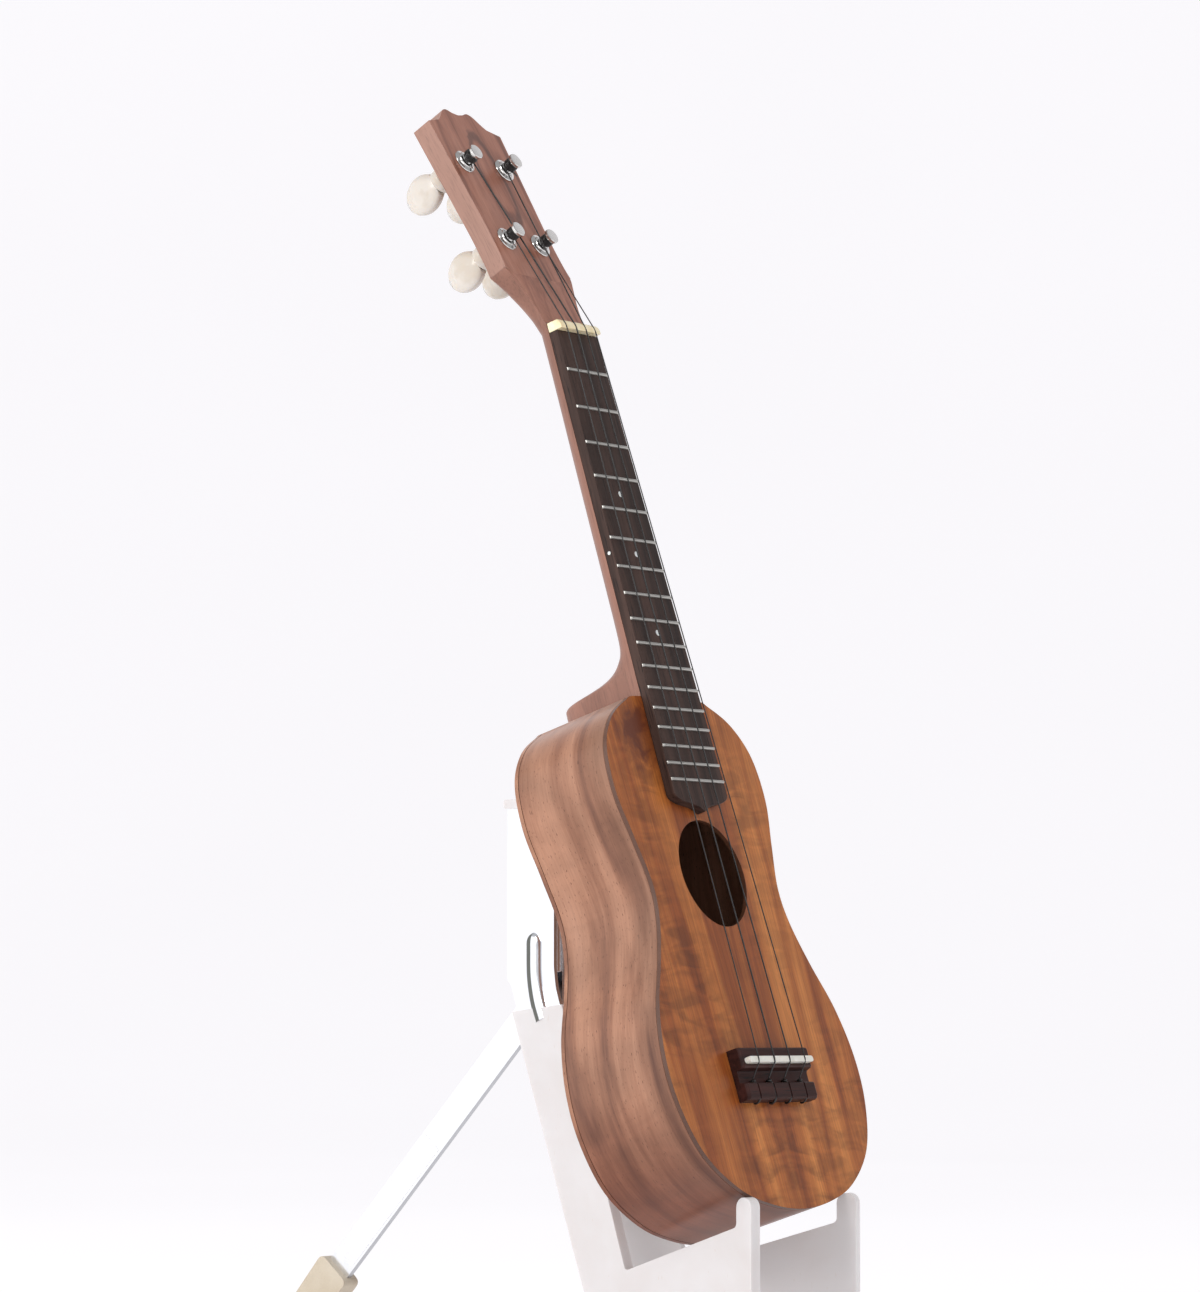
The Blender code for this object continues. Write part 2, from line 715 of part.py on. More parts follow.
def button_mesh(top):
    """An oval grip, its flat faces to either side of the head and rounded at its ends."""
    rings = []
    for share, width, thickness in (
        (0.0, 0.45, 0.8),
        (0.12, 0.72, 1.0),
        (0.35, 0.96, 1.0),
        (0.6, 1.0, 0.95),
        (0.85, 0.8, 0.85),
        (1.0, 0.45, 0.6),
    ):
        z = top - BUTTON_LENGTH * share
        half = (BUTTON_HALF_THICKNESS * thickness, BUTTON_HALF_WIDTH * width)
        angles = [2 * pi * i / 16 for i in range(16)]
        rings.append([(half[0] * cos(a), half[1] * sin(a), z) for a in angles])
    return loft_mesh("button", rings)


# Bridge and strings.


def build_bridge():
    base = TOUCH_GAP
    loop = [
        (BRIDGE_FRONT_Y, base),
        (BRIDGE_FRONT_Y, SADDLE_BLOCK_HEIGHT - CHAMFER),
        (BRIDGE_FRONT_Y - CHAMFER, SADDLE_BLOCK_HEIGHT),
        (SADDLE_BLOCK_END_Y, SADDLE_BLOCK_HEIGHT),
        (SADDLE_BLOCK_END_Y - CHAMFER, CHANNEL_HEIGHT),
        (TIE_BLOCK_START_Y + CHAMFER / 2, CHANNEL_HEIGHT),
        (TIE_BLOCK_START_Y, TIE_BLOCK_HEIGHT),
        (BRIDGE_REAR_Y + TIE_BLOCK_ROUND, TIE_BLOCK_HEIGHT),
        (BRIDGE_REAR_Y, TIE_BLOCK_HEIGHT - TIE_BLOCK_ROUND),
        (BRIDGE_REAR_Y, base),
    ]
    half = BRIDGE_HALF_WIDTH
    bridge = add_object("bridge", side_plate_mesh("bridge", loop, -half, half), INSTRUMENT, "rosewood")
    slot_half = SADDLE_HALF_WIDTH + TOUCH_GAP
    slot_y = SADDLE_THICKNESS / 2 + TOUCH_GAP
    floor = SADDLE_BLOCK_HEIGHT - SADDLE_SLOT_DEPTH - TOUCH_GAP
    low = (-slot_half, -SADDLE_SETBACK - slot_y, floor)
    slot = box_mesh("saddle_slot", low, (slot_half, slot_y - SADDLE_SETBACK, SADDLE_TOP))
    boolean(bridge, add_object("saddle_slot", slot, INSTRUMENT, None))


def build_saddle():
    half, y = SADDLE_HALF_WIDTH, SADDLE_THICKNESS / 2
    floor = SADDLE_BLOCK_HEIGHT - SADDLE_SLOT_DEPTH
    shoulder = SADDLE_TOP - SADDLE_ROUND
    loop = [(-half, floor), (half, floor), (half, shoulder), (half - SADDLE_ROUND, SADDLE_TOP)]
    loop += [(SADDLE_ROUND - half, SADDLE_TOP), (-half, shoulder)]
    mesh = outline_mesh("saddle", [loop], -y, y)
    mesh.transform(Matrix(((1, 0, 0, 0), (0, 0, 1, 0), (0, 1, 0, 0), (0, 0, 0, 1))))
    mesh.flip_normals()
    add_object("saddle", mesh, INSTRUMENT, "bone", (0, -SADDLE_SETBACK, 0))


def head_to_instrument(point):
    """A point of the headstock's frame, in the instrument's frame."""
    x, y, z = point
    start_y, start_z = head_origin()
    return (
        x,
        start_y + y * cos(HEAD_TILT) + z * sin(HEAD_TILT),
        start_z - y * sin(HEAD_TILT) + z * cos(HEAD_TILT),
    )


def head_origin():
    return (SCALE_LENGTH + NUT_LENGTH + TOUCH_GAP * 2, 0)


def string_route(number, radius):
    """From the tie block over saddle and nut to the turns round the post."""
    over_nut = NUT_HEIGHT + radius + TOUCH_GAP
    over_saddle = SADDLE_TOP + radius + TOUCH_GAP
    x_tie = string_x(number, 0)
    above_tie = TIE_BLOCK_HEIGHT + radius + TOUCH_GAP
    route = [
        (x_tie, BRIDGE_REAR_Y + 1 * MM, above_tie),
        (x_tie, TIE_BLOCK_START_Y - 1 * MM, above_tie),
        (x_tie, TIE_BLOCK_START_Y + 3 * MM, above_tie + 0.6 * MM),
        (x_tie, SADDLE_BLOCK_END_Y, SADDLE_BLOCK_HEIGHT + radius + TOUCH_GAP * 2),
        (x_tie, -SADDLE_SETBACK - SADDLE_THICKNESS / 2 - TOUCH_GAP, over_saddle),
        (x_tie, -SADDLE_SETBACK, over_saddle),
        (string_x(number, SCALE_LENGTH / 2), SCALE_LENGTH / 2, (over_saddle + over_nut) / 2),
        (string_x(number, SCALE_LENGTH), SCALE_LENGTH + NUT_LENGTH * 0.3, over_nut),
        (string_x(number, SCALE_LENGTH), SCALE_LENGTH + NUT_LENGTH * 0.7, over_nut - 0.2 * MM),
    ]
    _, x, y = peg_places()[number]
    turn_radius = POST_WAIST_RADIUS + radius + TOUCH_GAP
    side = 1 if x < 0 else -1
    start = WINDING_HEIGHT + WINDING_TURNS * WINDING_PITCH
    for i in range(WINDING_TURNS * WINDING_POINTS + 1):
        share = i / WINDING_POINTS
        angle = 2 * pi * share
        point = (
            x + side * turn_radius * cos(angle),
            y + turn_radius * sin(angle),
            start - WINDING_PITCH * share,
        )
        route.append(head_to_instrument(point))
    return route


def tube_mesh(name, route, radius, smooth=2):
    curve = bpy.data.curves.new(name, "CURVE")
    curve.dimensions = "3D"
    curve.bevel_depth = radius
    curve.bevel_resolution = smooth
    curve.use_fill_caps = True
    spline = curve.splines.new("POLY")
    spline.points.add(len(route) - 1)
    for point, place in zip(spline.points, route):
        point.co = (*place, 1)
    return curve_mesh(name, curve)


def build_strings():
    for number, radius in enumerate(STRING_RADII):
        name = f"string_{number + 1}"
        mesh = tube_mesh(name, string_route(number, radius), radius, 1)
        add_object(name, mesh, INSTRUMENT, "string_nylon")


# Stand. A wing's frame has its origin on the hinge pin and its plate along -Y.


def leg_rear_y(height):
    """The leg's rear edge, which leans like the instrument below the hinge."""
    return WING_REAR_Y - (WING_BEND_HEIGHT - height) * LEG_SLOPE


def leg_front_y(height):
    return ARM_CORNER_Y + (height - ARM_CORNER_HEIGHT) * LEG_FRONT_SLOPE


def rounded_tip(centre_y, centre_z, radius, steps=8):
    angles = [pi * i / steps for i in range(steps + 1)]
    return [(centre_y - radius * cos(a), centre_z + radius * sin(a)) for a in angles]


def wing_outline():
    """The wing plate as (y, z), without its rubber, counted from the finger round to the nose."""
    inset = SLEEVE_WALL + TOUCH_GAP
    front = FINGER_FRONT_Y + inset
    finger_radius = FINGER_WIDTH / 2 - inset
    bottom = inset
    finger_back = front + 2 * finger_radius
    arm_drop = inset / cos(atan2(ARM_RISE, 1))
    arm_at_finger = ARM_CORNER_HEIGHT + (ARM_CORNER_Y - finger_back) * ARM_RISE - arm_drop
    corner_z = ARM_CORNER_HEIGHT - arm_drop - inset * ARM_RISE
    corner = (leg_front_y(corner_z) + inset, corner_z)
    join = WING_BEND_HEIGHT - 4 * MM
    loop = [(leg_rear_y(bottom) - inset, bottom), (front, bottom)]
    loop += rounded_tip(front + finger_radius, FINGER_TOP - inset - finger_radius, finger_radius)
    loop += [(finger_back, arm_at_finger), corner]
    loop += [(leg_front_y(join) + inset, join)]
    loop += [(WING_UPPER_FRONT_Y, WING_BEND_HEIGHT + 6 * MM)]
    loop += [(WING_UPPER_FRONT_Y, NOSE_HEIGHT - nose_reach())]
    loop += [(WING_UPPER_FRONT_Y - nose_reach(), NOSE_HEIGHT + NOSE_RISE)]
    loop += [(WING_UPPER_FRONT_Y - nose_reach(), WING_TOP), (WING_REAR_Y, WING_TOP)]
    step = WING_BEND_HEIGHT - 2 * MM
    loop += [(WING_REAR_Y, WING_BEND_HEIGHT), (leg_rear_y(step) - inset, step)]
    return loop


def along_wing(loop):
    """Turns world y into distance along the opened wing's plate, measured from the pin."""
    return [((y - PIN_Y) / cos(WING_OPENING), z) for y, z in loop]


def knuckle_span(index):
    length = (HINGE_TOP - HINGE_BOTTOM) / KNUCKLE_COUNT
    bottom = HINGE_BOTTOM + length * index
    return bottom + TOUCH_GAP / 2, bottom + length - TOUCH_GAP / 2


def pin_bore_mesh():
    return cylinder_mesh(
        "bore", PIN_RADIUS + PIN_PLAY, HINGE_BOTTOM - CUT_PAST, HINGE_TOP + CUT_PAST
    )


def build_wing(side, sign, frame, knuckles):
    """One wing: its plate, and the barrels and links that carry it on the pin."""
    half = WING_THICKNESS / 2
    middle = sign * WING_OFFSET
    loop = along_wing(wing_outline())
    mesh = side_plate_mesh(f"wing_{side}", loop, middle - half, middle + half)
    wing = add_object(f"wing_{side}", mesh, frame, "stand_metal")
    for index in knuckles:
        bottom, top = knuckle_span(index)
        barrel = cylinder_mesh("barrel", BARREL_RADIUS, bottom, top)
        boolean(wing, add_object(f"wing_{side}_barrel_{index}", barrel, frame, None), "UNION")
        low = (min(0, middle), -BARREL_RADIUS, bottom)
        high = (max(0, middle), -BARREL_RADIUS + WING_THICKNESS, top)
        link = box_mesh("link", low, high)
        boolean(wing, add_object(f"wing_{side}_link_{index}", link, frame, None), "UNION")
    bore = pin_bore_mesh()
    boolean(wing, add_object(f"wing_{side}_bore", bore, frame, None))
    for index in range(KNUCKLE_COUNT):
        if index in knuckles:
            continue
        bottom, top = knuckle_span(index)
        room = BARREL_RADIUS + TOUCH_GAP
        clear = cylinder_mesh("room", room, bottom - TOUCH_GAP, top + TOUCH_GAP)
        boolean(wing, add_object(f"wing_{side}_room_{index}", clear, frame, None))


def sleeved_plate(top):
    """The wing plate's outline below a slanted line, which meets the rear edge at top."""
    inset = SLEEVE_WALL + TOUCH_GAP
    lower = [point for point in wing_outline() if point[1] < ARM_CORNER_Y * 2]
    front_top = top + (WING_REAR_Y - leg_front_y(top)) * SLEEVE_TOP_SLOPE
    front = (leg_front_y(front_top) + inset, front_top)
    return along_wing(lower + [front, (leg_rear_y(top) - inset, top)])


def build_sleeve(side, sign, frame):
    """The rubber dip round the wing's lower part, open at its slanted upper edge."""
    inset = SLEEVE_WALL + TOUCH_GAP
    middle = sign * WING_OFFSET
    wall = WING_THICKNESS / 2 + inset
    outer = offset_loop(sleeved_plate(SLEEVE_TOP), inset)
    mesh = side_plate_mesh("sleeve", outer, middle - wall, middle + wall)
    sleeve = add_object(f"sleeve_{side}", mesh, frame, "stand_rubber")
    room = WING_THICKNESS / 2 + TOUCH_GAP
    pocket = offset_loop(sleeved_plate(SLEEVE_TOP + CUT_PAST), TOUCH_GAP)
    mesh = side_plate_mesh("pocket", pocket, middle - room, middle + room)
    boolean(sleeve, add_object(f"sleeve_{side}_pocket", mesh, frame, None))


def build_cap(side, sign, frame):
    """The soft cap on the wing's top edge and nose, where the instrument's back leans."""
    bottom = WING_TOP - CAP_SKIRT
    reach = CAP_WALL + TOUCH_GAP
    front = WING_UPPER_FRONT_Y - nose_reach()
    plate = [(front, bottom), (front, WING_TOP), (WING_REAR_Y, WING_TOP), (WING_REAR_Y, bottom)]
    y0, y1 = front - reach, WING_REAR_Y + reach
    outer = [
        (y0, bottom),
        (y0, WING_TOP + reach - CHAMFER),
        (y0 + CHAMFER, WING_TOP + reach),
        (y1 - CHAMFER, WING_TOP + reach),
        (y1, WING_TOP + reach - CHAMFER),
        (y1, bottom),
    ]
    middle = sign * WING_OFFSET
    wall = WING_THICKNESS / 2 + reach
    mesh = side_plate_mesh("cap", along_wing(outer), middle - wall, middle + wall)
    cap = add_object(f"cap_{side}", mesh, frame, "stand_rubber")
    pocket = offset_loop(along_wing(plate), TOUCH_GAP)
    pocket = [(y, z - (CUT_PAST if z < WING_TOP - CAP_SKIRT / 2 else 0)) for y, z in pocket]
    room = WING_THICKNESS / 2 + TOUCH_GAP
    mesh = side_plate_mesh("cap_pocket", pocket, middle - room, middle + room)
    boolean(cap, add_object(f"cap_{side}_pocket", mesh, frame, None))


def build_pin():
    top, bottom = HINGE_TOP + TOUCH_GAP, HINGE_BOTTOM - TOUCH_GAP
    profile = [
        (0, top + PIN_HEAD_HEIGHT),
        (PIN_HEAD_RADIUS, top + PIN_HEAD_HEIGHT),
        (PIN_HEAD_RADIUS, top),
        (PIN_RADIUS, top),
        (PIN_RADIUS, bottom),
        (PIN_HEAD_RADIUS, bottom),
        (PIN_HEAD_RADIUS, bottom - PIN_HEAD_HEIGHT),
        (0, bottom - PIN_HEAD_HEIGHT),
    ]
    add_turned("hinge_pin", profile, ROOT, "stand_metal", (0, PIN_Y, 0))


def build_spine(knuckles):
    """The plate between the wings: its barrels hold the pin, its slot holds the rear leg."""
    half = SPINE_HALF_THICKNESS
    low = (-half, SPINE_FRONT_Y, SPINE_BOTTOM)
    high = (half, PIN_Y - BARREL_RADIUS - CHAMFER, HINGE_TOP)
    spine = add_object("spine_plate", box_mesh("spine_plate", low, high), ROOT, "stand_metal")
    for index in knuckles:
        bottom, top = knuckle_span(index)
        barrel = cylinder_mesh("barrel", BARREL_RADIUS, bottom, top)
        cutter = add_object(f"spine_barrel_{index}", barrel, ROOT, None, (0, PIN_Y, 0))
        boolean(spine, cutter, "UNION")
        low = (-half / 2, PIN_Y - BARREL_RADIUS - CUT_PAST, bottom)
        link = box_mesh("link", low, (half / 2, PIN_Y, top))
        boolean(spine, add_object(f"spine_link_{index}", link, ROOT, None), "UNION")
    bore = pin_bore_mesh()
    boolean(spine, add_object("spine_bore", bore, ROOT, None, (0, PIN_Y, 0)))
    slot_half = REAR_LEG_THICKNESS / 2 + LEG_PLAY
    low = (-slot_half, SPINE_FRONT_Y - CUT_PAST, SPINE_BOTTOM - CUT_PAST)
    slot = box_mesh("leg_slot", low, (slot_half, PIN_Y + CUT_PAST, SLOT_TOP))
    boolean(spine, add_object("leg_slot", slot, ROOT, None))
    boolean(spine, add_object("spine_rivet_hole", rivet_hole_mesh(), ROOT, None, pivot_place()))


def pivot_place():
    return (0, PIVOT_Y, PIVOT_HEIGHT)


def rivet_hole_mesh():
    reach = SPINE_HALF_THICKNESS + CUT_PAST
    mesh = cylinder_mesh("rivet_hole", RIVET_RADIUS + PIN_PLAY, -reach, reach)
    mesh.transform(Matrix.Rotation(pi / 2, 4, "Y"))
    return mesh


def build_rivet():
    inner = SPINE_HALF_THICKNESS + TOUCH_GAP
    outer = inner + RIVET_HEAD_HEIGHT
    dome = RIVET_HEAD_RADIUS - CHAMFER
    profile = [
        (0, outer),
        (dome, outer),
        (RIVET_HEAD_RADIUS, inner),
        (RIVET_RADIUS, inner),
        (RIVET_RADIUS, -inner),
        (RIVET_HEAD_RADIUS, -inner),
        (dome, -outer),
        (0, -outer),
    ]
    rivet = add_turned("leg_rivet", profile, ROOT, "stand_metal", pivot_place())
    rivet.rotation_euler = (0, pi / 2, 0)


def rear_leg_length():
    """From the pivot to where the metal ends, a sole's thickness above the floor."""
    half = REAR_LEG_WIDTH / 2
    return (PIVOT_HEIGHT - BOOT_SOLE - half * cos(REAR_LEG_SLOPE)) / sin(REAR_LEG_SLOPE)


def rear_leg_loop(length, half_width):
    """The leg as (y, z) from its pivot, straight back along +Y, with a round upper end."""
    loop = [(length, -half_width), (length, half_width)]
    steps = 10
    for i in range(steps + 1):
        angle = pi / 2 + pi * i / steps
        loop.append((half_width * cos(angle), half_width * sin(angle)))
    return loop


def build_rear_leg():
    half = REAR_LEG_THICKNESS / 2
    loop = rear_leg_loop(rear_leg_length(), REAR_LEG_WIDTH / 2)
    mesh = side_plate_mesh("rear_leg", loop, -half, half)
    leg = add_object("rear_leg", mesh, REAR_LEG, "stand_metal")
    boolean(leg, add_object("rear_leg_rivet_hole", rivet_hole_mesh(), REAR_LEG, None))


def build_boot():
    """The rubber boot on the rear leg, cut level where it stands on the floor."""
    length = rear_leg_length()
    half_width = REAR_LEG_WIDTH / 2 + BOOT_MARGIN
    start = length - BOOT_LENGTH
    end = length + BOOT_LENGTH / 2
    corner = BOOT_ROUND
    loop = [
        (start, -half_width + corner),
        (start + corner, -half_width),
        (end, -half_width),
        (end, half_width),
        (start + corner, half_width),
        (start, half_width - corner),
    ]
    half = BOOT_HALF_THICKNESS
    boot = add_object("rear_boot", side_plate_mesh("boot", loop, -half, half), REAR_LEG, "boot_rubber")
    room = REAR_LEG_THICKNESS / 2 + TOUCH_GAP
    inner = REAR_LEG_WIDTH / 2 + TOUCH_GAP
    pocket = [(start - CUT_PAST, -inner), (length + TOUCH_GAP, -inner)]
    pocket += [(length + TOUCH_GAP, inner), (start - CUT_PAST, inner)]
    mesh = side_plate_mesh("boot_pocket", pocket, -room, room)
    boolean(boot, add_object("boot_pocket", mesh, REAR_LEG, None))
    reach = PIVOT_Y + length + BOOT_LENGTH
    low = (-CUT_PAST - half, PIVOT_Y, -BOOT_LENGTH)
    floor = box_mesh("floor_cut", low, (half + CUT_PAST, reach, 0))
    boolean(boot, add_object("floor_cut", floor, ROOT, None))


def build_instrument():
    build_soundboard()
    build_sides()
    build_back()
    build_linings()
    build_blocks()
    build_braces()
    build_neck()
    build_fretboard()
    build_frets()
    build_nut()
    build_headstock()
    build_tuners()
    build_bridge()
    build_saddle()
    build_strings()


def build_stand():
    build_pin()
    build_spine((0, 5))
    for side, sign, knuckles in (("left", -1, (1, 3)), ("right", 1, (2, 4))):
        frame = make_empty(f"wing_{side}_frame", ROOT, (0, PIN_Y, 0), (0, 0, sign * WING_OPENING))
        build_wing(side, sign, frame, knuckles)
        build_sleeve(side, sign, frame)
        build_cap(side, sign, frame)
    build_rivet()
    build_rear_leg()
    build_boot()


def centre_on_floor():
    """Moves the whole object so that its box is centred on the origin."""
    bpy.context.view_layer.update()
    graph = bpy.context.evaluated_depsgraph_get()
    low, high = [1e9, 1e9], [-1e9, -1e9]
    for obj in PARTS.objects:
        if obj.type != "MESH":
            continue
        evaluated = obj.evaluated_get(graph)
        for vertex in evaluated.data.vertices:
            place = obj.matrix_world @ vertex.co
            for axis in (0, 1):
                low[axis] = min(low[axis], place[axis])
                high[axis] = max(high[axis], place[axis])
    ROOT.location = (-(low[0] + high[0]) / 2, -(low[1] + high[1]) / 2, 0)


clear_scene()
PARTS = make_collection("ukulele_on_stand")
CUTTERS = make_collection("cutters", is_cutters=True)
LOOKS = {name: make_material(name) for name in MATERIALS}
ROOT = make_empty("object_root", None)
INSTRUMENT = make_empty("instrument_frame", ROOT, (0, 0, SADDLE_HEIGHT), (pi / 2 - LEAN, 0, 0))
HEAD = make_empty("headstock_frame", INSTRUMENT, (0, *head_origin()), (-HEAD_TILT, 0, 0))
REAR_LEG = make_empty("rear_leg_frame", ROOT, pivot_place(), (-REAR_LEG_SLOPE, 0, 0))
build_instrument()
build_stand()
centre_on_floor()
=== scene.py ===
"""Looks of the ukulele on its folding stand: finer pieces, materials, studio and camera."""

import json
from math import cos, pi, radians, sin, sqrt

import bmesh
import bpy
from mathutils import Matrix, Vector


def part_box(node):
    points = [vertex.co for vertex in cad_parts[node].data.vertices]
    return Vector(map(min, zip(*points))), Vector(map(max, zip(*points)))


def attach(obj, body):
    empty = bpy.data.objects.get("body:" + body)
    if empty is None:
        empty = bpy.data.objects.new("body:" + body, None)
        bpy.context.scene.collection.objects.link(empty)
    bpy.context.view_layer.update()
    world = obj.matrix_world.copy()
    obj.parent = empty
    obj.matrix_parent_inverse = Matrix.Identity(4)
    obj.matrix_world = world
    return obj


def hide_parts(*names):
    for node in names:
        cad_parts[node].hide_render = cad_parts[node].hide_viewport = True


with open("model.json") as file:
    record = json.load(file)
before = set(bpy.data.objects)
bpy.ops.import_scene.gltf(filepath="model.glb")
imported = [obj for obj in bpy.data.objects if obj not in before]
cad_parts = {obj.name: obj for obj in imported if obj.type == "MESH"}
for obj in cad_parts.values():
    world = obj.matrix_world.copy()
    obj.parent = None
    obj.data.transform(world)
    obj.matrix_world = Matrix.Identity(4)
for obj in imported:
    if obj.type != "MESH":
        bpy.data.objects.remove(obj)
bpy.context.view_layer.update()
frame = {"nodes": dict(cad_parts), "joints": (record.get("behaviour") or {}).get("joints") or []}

MM = 0.001
JOINTS = {joint["name"]: joint for joint in frame["joints"]}

# The instrument's own frame: +X across, +Y from bridge to head, +Z out of the soundboard.
# Its outlines are lists of (x, y) in mm, each half of a shape that is the same on both sides.
LEAN = radians(17.7)
TAIL_Y = -74.5 * MM
NECK_JOINT_Y = 187.5 * MM
SCALE_LENGTH = 381 * MM
BODY_HALF_OUTLINE = [
    (0, -74.5), (27, -71.3), (51, -63), (72, -46),
    (82.5, -22), (84, 2), (78, 27), (66, 51),
    (57.6, 72), (55.6, 90), (60.5, 112), (66.2, 136),
    (64, 159), (53, 175), (37, 184.5), (25, 187.5),
]
OUTLINE_STEPS = 9
TAIL_DEPTH = 62 * MM
NECK_END_DEPTH = 57 * MM
PLATE = 2.2 * MM
SIDE_THICKNESS = 2 * MM
SOUND_HOLE_Y = 96.3 * MM
SOUND_HOLE_RADIUS = 27.5 * MM
SEAM = 0.12 * MM

FRET_COUNT = 17
FRET_HALF_WIDTH = 0.85 * MM
FRET_HEIGHT = 1.2 * MM
NUT_HALF_WIDTH = 17.3 * MM
LAST_FRET_HALF_WIDTH = 23.3 * MM
BOARD_TOP = 5.2 * MM
BOARD_END_Y = 134.5 * MM
BOARD_TIP_Y = 126.5 * MM
NUT_LENGTH = 5 * MM
NUT_HEIGHT = 8.6 * MM
DOT_FRETS = (5, 7, 10)

HEAD_TILT = radians(13)
HEAD_START = (SCALE_LENGTH + NUT_LENGTH + 0.6 * MM, 0)
HEAD_THICKNESS = 11 * MM
HEAD_UPPER_OUTLINE = [
    (28.5, 33.5), (27.4, 42), (27.2, 60), (28.8, 88), (31, 124), (20.5, 126.5),
    (17, 129.5), (12.5, 133.8), (8.6, 134.8), (4.6, 133.4), (0, 132.6),
]

BRIDGE_HALF_WIDTH = 31 * MM
SADDLE_SETBACK = 2 * MM
SADDLE_HALF_WIDTH = 28.5 * MM
SADDLE_RADIUS = 1.5 * MM
SADDLE_BOTTOM = 3.4 * MM
SADDLE_TOP = 10.4 * MM
TIE_TOP = 6.5 * MM
TIE_START_Y = -12.5 * MM

STRING_RADII = (0.32 * MM, 0.42 * MM, 0.36 * MM, 0.3 * MM)
STRING_SPACING_AT_NUT = 8.4 * MM
STRING_SPACING_AT_SADDLE = 13.8 * MM


def instrument_matrix():
    low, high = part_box("soundboard")
    origin = (0, low.y - TAIL_Y * sin(LEAN), high.z - NECK_JOINT_Y * cos(LEAN))
    return Matrix.Translation(origin) @ Matrix.Rotation(pi / 2 - LEAN, 4, "X")


def head_matrix():
    tilt = Matrix.Rotation(-HEAD_TILT, 4, "X")
    return INSTRUMENT @ Matrix.Translation((0, *HEAD_START)) @ tilt


INSTRUMENT = instrument_matrix()
HEAD = head_matrix()


# Meshes.


def smooth_points(points, steps, closed=False):
    """Points along a smooth curve through the given ones."""
    points = [Vector(p) for p in points]
    count = len(points)
    made = []
    for i in range(count if closed else count - 1):
        if closed:
            before, start, end, after = (points[(i + k) % count] for k in (-1, 0, 1, 2))
        else:
            start, end = points[i], points[i + 1]
            before = points[i - 1] if i else start * 2 - end
            after = points[i + 2] if i + 2 < count else end * 2 - start
        for step in range(steps):
            t = step / steps
            place = start * 2 + (end - before) * t
            place += (before * 2 - start * 5 + end * 4 - after) * t**2
            place += (start * 3 - before - end * 3 + after) * t**3
            made.append(place / 2)
    if not closed:
        made.append(points[-1])
    return made


def offset_loop(loop, distance):
    """The closed loop moved outwards by distance."""
    count = len(loop)
    area = sum(loop[i - 1][0] * loop[i][1] - loop[i][0] * loop[i - 1][1] for i in range(count))
    side = 1 if area > 0 else -1
    moved = []
    for i in range(count):
        here = Vector(loop[i])
        first = (here - Vector(loop[i - 1])).normalized()
        second = (Vector(loop[(i + 1) % count]) - here).normalized()
        normals = [Vector((d.y, -d.x)) * side for d in (first, second)]
        middle = (normals[0] + normals[1]).normalized()
        moved.append(here + middle * (distance / max(middle.dot(normals[0]), 0.5)))
    return moved


def new_object(name, work):
    bmesh.ops.recalc_face_normals(work, faces=work.faces)
    mesh = bpy.data.meshes.new(name)
    work.to_mesh(mesh)
    work.free()
    obj = bpy.data.objects.new(name, mesh)
    bpy.context.scene.collection.objects.link(obj)
    return obj


def curve_object(name, curve):
    """A mesh object from a curve, with its caps welded on."""
    guide = bpy.data.objects.new(name + "_guide", curve)
    bpy.context.scene.collection.objects.link(guide)
    graph = bpy.context.evaluated_depsgraph_get()
    mesh = bpy.data.meshes.new_from_object(guide.evaluated_get(graph))
    bpy.data.objects.remove(guide, do_unlink=True)
    bpy.data.curves.remove(curve)
    work = bmesh.new()
    work.from_mesh(mesh)
    bpy.data.meshes.remove(mesh)
    bmesh.ops.remove_doubles(work, verts=work.verts, dist=1e-5)
    return new_object(name, work)


def plate(name, loops, bottom, top):
    """Flat closed loops of (x, y), extruded along Z."""
    curve = bpy.data.curves.new(name, "CURVE")
    curve.dimensions = "2D"
    curve.fill_mode = "BOTH"
    curve.extrude = (top - bottom) / 2
    for loop in loops:
        spline = curve.splines.new("POLY")
        spline.points.add(len(loop) - 1)
        for point, place in zip(spline.points, loop):
            point.co = (place[0], place[1], 0, 1)
        spline.use_cyclic_u = True
    obj = curve_object(name, curve)
    obj.data.transform(Matrix.Translation((0, 0, (top + bottom) / 2)))
    return obj


def tube(name, route, radius, sides=3):
    curve = bpy.data.curves.new(name, "CURVE")
    curve.dimensions = "3D"
    curve.bevel_depth = radius
    curve.bevel_resolution = sides
    curve.use_fill_caps = True
    spline = curve.splines.new("POLY")
    spline.points.add(len(route) - 1)
    for point, place in zip(spline.points, route):
        point.co = (*place, 1)
    return curve_object(name, curve)


def loft(name, rings, closed=False):
    """A skin through rings of points; its ends are capped unless the rings go round."""
    work = bmesh.new()
    made = [[work.verts.new(point) for point in ring] for ring in rings]
    count = len(rings[0])
    pairs = list(zip(made, made[1:]))
    if closed:
        pairs.append((made[-1], made[0]))
    for first, second in pairs:
        for i in range(count):
            after = (i + 1) % count
            work.faces.new((first[i], first[after], second[after], second[i]))
    if not closed:
        work.faces.new(made[0])
        work.faces.new(made[-1])
    return new_object(name, work)


def turned(name, profile, segments=48):
    """A solid of revolution about Z, from (radius, z) points in mm."""
    work = bmesh.new()
    points = [work.verts.new((r * MM, 0, z * MM)) for r, z in profile]
    edges = [work.edges.new(pair) for pair in zip(points, points[1:])]
    bmesh.ops.spin(
        work,
        geom=points + edges,
        cent=(0, 0, 0),
        axis=(0, 0, 1),
        angle=2 * pi,
        steps=segments,
        use_merge=True,
    )
    bmesh.ops.remove_doubles(work, verts=work.verts, dist=1e-6)
    return new_object(name, work)


def bevel(obj, width, segments=3, angle=35):
    modifier = obj.modifiers.new("bevel", "BEVEL")
    modifier.width = width
    modifier.segments = segments
    modifier.limit_method = "ANGLE"
    modifier.angle_limit = radians(angle)
    modifier.harden_normals = False
    return obj


